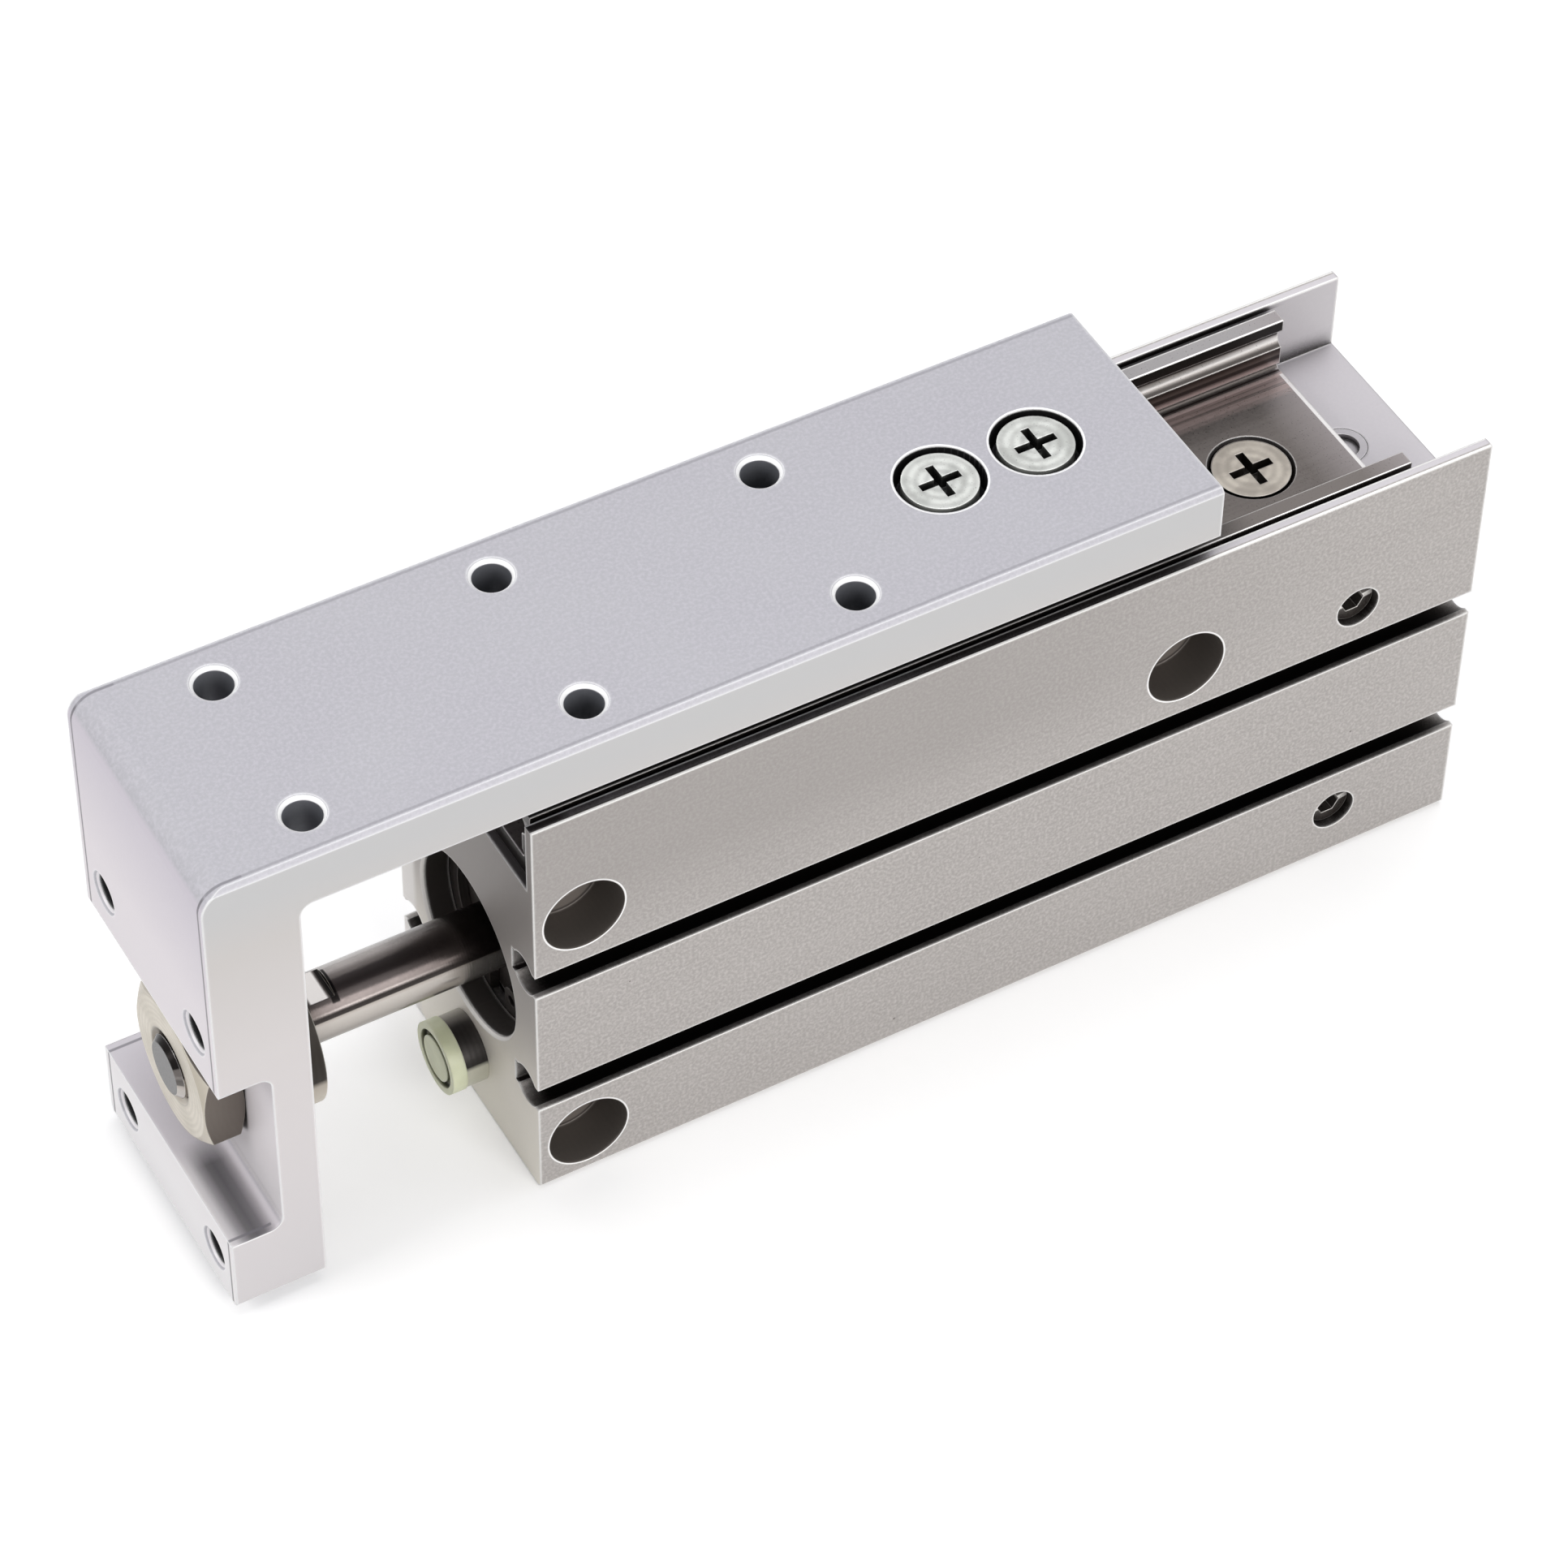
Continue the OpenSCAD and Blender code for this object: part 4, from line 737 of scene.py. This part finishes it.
darkLook = dict(coverLook, colour=tone(74, 69, 66), cloudColour=tone(66, 61, 58), ringColour=tone(54, 49, 47),
                highlightColour=tone(140, 134, 130), rough=0.38)
# painted shade round the holder's side, lighter at its lower near side and upper far side
holderLightAndShade = ((0.0, tone(206, 206, 190)), (0.17, tone(202, 201, 186)), (0.22, tone(24, 20, 19)),
              (0.32, tone(44, 40, 39)), (0.78, tone(48, 44, 43)), (0.9, tone(104, 100, 95)),
              (1.0, tone(170, 167, 158)))
holderLow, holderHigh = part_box("bumper_holder")
holderAxis = [(0, (holderLow.z + holderHigh.z) / 2)]
dress(turnedFinish("holderSteel", darkLook, holderAxis, paint=paintRoundShading(holderLightAndShade)), "bumper_holder")
dress(turnedFinish("ringPhosphated", darkLook, rodAxis), "rod_cover_ring", "head_cover_ring")

bronzeLook = dict(coverLook, colour=tone(196, 150, 92), cloudColour=tone(170, 128, 76),
                  ringColour=tone(150, 110, 64), metallic=0.8)
dress(turnedFinish("bushBronze", bronzeLook, rodAxis), "rod_bush")

ballLook = dict(rodLook, colour=tone(222, 222, 224), cloudColour=tone(214, 214, 216),
                ringColour=tone(214, 214, 216), ringAmount=0.1, ringBump=0.0, rough=0.1)
dress(turnedFinish("ballPolished", ballLook, rodAxis), "guide_balls")

print("screws, rod, collar, nut and covers dressed")


# ---------- rubber and plastics ----------

def mouldedFinish(name, look):
    material, tree, shader, place = newMaterial(name)
    grain = effect(tree, "grain", {"Vector": place, "Grain Scale": look["grainScale"], "Cloud Scale": 260.0})
    edge = effect(tree, "edge", {"Radius": look["edgeRadius"], "Strength": 2.5})
    clouded = scaled(tree, grain["Cloud"], 0.0, 1.0, 0.38, 0.62)
    colour = mixColour(tree, look["colour"], look["cloudColour"], clouded)
    # painted highlight along the edges
    colour = mixColour(tree, colour, look["highlightColour"], scaled(tree, edge["Mask"], 0.0, look["highlightAmount"]))
    # painted shade in recesses
    if "recessColour" in look:
        recess = effect(tree, "recess", {"Reach": 0.8 * mm, "From": 0.35, "To": 0.8})
        colour = mixColour(tree, colour, look["recessColour"], recess["Mask"])
    feed(tree, shader, {
        "Base Color": colour,
        "Roughness": scaled(tree, grain["Grain"], look["rough"] - 0.07, look["rough"] + 0.07, 0.3, 0.7),
        "Normal": bumpFrom(tree, grain["Grain"], look["bump"], 0.02 * mm, edge["Normal"])})
    if "soft" in look:
        feed(tree, shader, {"Subsurface Weight": look["soft"], "Subsurface Radius": (1.0, 0.9, 0.5),
                            "Subsurface Scale": 0.6 * mm})
    return material


urethaneLook = dict(colour=tone(222, 226, 196), cloudColour=tone(206, 210, 178), highlightColour=tone(244, 247, 228),
                    recessColour=tone(62, 64, 42), highlightAmount=0.7, edgeRadius=0.25 * mm, grainScale=1800.0,
                    rough=0.42, bump=0.2, soft=0.2)
dress(mouldedFinish("urethanePale", urethaneLook), "stop_bumper", "front_cushion", "rear_cushion")

rubberLook = dict(colour=tone(44, 42, 42), cloudColour=tone(36, 34, 34), highlightColour=tone(78, 76, 74),
                  highlightAmount=0.5, edgeRadius=0.1 * mm, grainScale=3000.0, rough=0.55, bump=0.2)
dress(mouldedFinish("nitrileRubber", rubberLook), "rod_seal", "rod_cover_seal", "head_cover_seal",
      "piston_seal", "magnet")

resinLook = dict(colour=tone(86, 104, 96), cloudColour=tone(76, 94, 86), highlightColour=tone(126, 142, 134),
                 highlightAmount=0.4, edgeRadius=0.2 * mm, grainScale=1500.0, rough=0.48, bump=0.15)
dress(mouldedFinish("capResin", resinLook), "block_end_caps")

wearLook = dict(resinLook, colour=tone(128, 96, 64), cloudColour=tone(114, 84, 54),
                highlightColour=tone(150, 118, 84))
dress(mouldedFinish("wearResin", wearLook), "wear_ring")

print("rubber and plastics dressed")


# ---------- floor, light and camera ----------

def straightRays(tree):  # 1 for rays from the camera, off a mirror or through glass, else 0
    rays = put(tree, "ShaderNodeLightPath").outputs
    seen = maths(tree, "ADD", rays["Is Camera Ray"], rays["Is Glossy Ray"])
    return maths(tree, "ADD", seen, rays["Is Transmission Ray"], clamp=True)


def makeFloor():
    settings = dict(half=3.0, drop=0.1 * mm, colour=(0.86, 0.86, 0.86, 1.0), rough=0.9, glow=0.3, farGlow=0.66,
                    nearReach=0.3, farReach=1.4)
    mesh = bmesh.new()
    bmesh.ops.create_grid(mesh, x_segments=1, y_segments=1, size=settings["half"])
    data = bpy.data.meshes.new("floor")
    bmesh.ops.translate(mesh, vec=(0, 0, -settings["drop"]), verts=mesh.verts)
    mesh.to_mesh(data)
    mesh.free()
    floor = bpy.data.objects.new("floor", data)
    bpy.context.scene.collection.objects.link(floor)
    material, tree, shader, place = newMaterial("floorPale")
    glow = scaled(tree, vectorMaths(tree, "LENGTH", place), settings["glow"], settings["farGlow"],
                  settings["nearReach"], settings["farReach"])
    underside = put(tree, "ShaderNodeNewGeometry").outputs["Backfacing"]  # from there the part shows through
    feed(tree, shader, {
        "Base Color": settings["colour"], "Roughness": settings["rough"], "Specular IOR Level": 0.0,
        "Emission Color": (1, 1, 1, 1), "Emission Strength": product(tree, straightRays(tree), glow),
        "Alpha": rest(tree, underside)})
    data.materials.append(material)


def makeWorld():
    settings = dict(ambient=(0.98, 0.985, 1.0, 1.0), level=0.42)
    world = bpy.data.worlds.new("studio")
    bpy.context.scene.world = world
    world.use_nodes = True
    tree = world.node_tree
    tree.nodes.clear()
    seen = put(tree, "ShaderNodeBackground", {"Color": (1, 1, 1, 1), "Strength": 1.0})
    lit = put(tree, "ShaderNodeBackground", {"Color": settings["ambient"], "Strength": settings["level"]})
    mix = put(tree, "ShaderNodeMixShader", {0: straightRays(tree), 1: lit.outputs[0], 2: seen.outputs[0]})
    put(tree, "ShaderNodeOutputWorld", {"Surface": mix.outputs[0]})


def makeSoftbox(name, place, size, power, colour):
    data = bpy.data.lights.new(name, "AREA")
    data.shape = "DISK"
    data.size = size
    data.energy = power
    data.color = colour
    lamp = bpy.data.objects.new(name, data)
    lamp.location = place
    aim = Vector((0.01, 0, 0.025)) - Vector(place)
    lamp.rotation_euler = aim.to_track_quat("-Z", "Y").to_euler()
    bpy.context.scene.collection.objects.link(lamp)


def makeLights():
    makeSoftbox("keyLight", (-0.10, 0.90, 0.48), 0.6, 4.8, (1.0, 0.985, 0.965))
    makeSoftbox("topLight", (-0.25, -0.10, 1.0), 0.7, 2.8, (0.96, 0.97, 1.0))
    makeSoftbox("fillLight", (0.15, -0.85, 0.45), 0.6, 1.6, (1.0, 0.99, 0.98))
    makeSoftbox("frontLight", (0.85, -0.10, 0.55), 0.5, 3.0, (1.0, 0.99, 0.98))


def makeCamera():
    settings = dict(place=(0.18471, 0.28967, 0.39061), turn=(42.3833, -0.7451, 150.5529), lens=133.29,
                    sensor=36.0)
    data = bpy.data.cameras.new("camera")
    data.lens = settings["lens"]
    data.sensor_width = settings["sensor"]
    camera = bpy.data.objects.new("camera", data)
    camera.location = settings["place"]
    camera.rotation_euler = [math.radians(angle) for angle in settings["turn"]]
    bpy.context.scene.collection.objects.link(camera)
    bpy.context.scene.camera = camera


makeFloor()
makeWorld()
makeLights()
makeCamera()
bpy.context.scene.view_settings.view_transform = "Standard"
print("floor, light and camera placed")
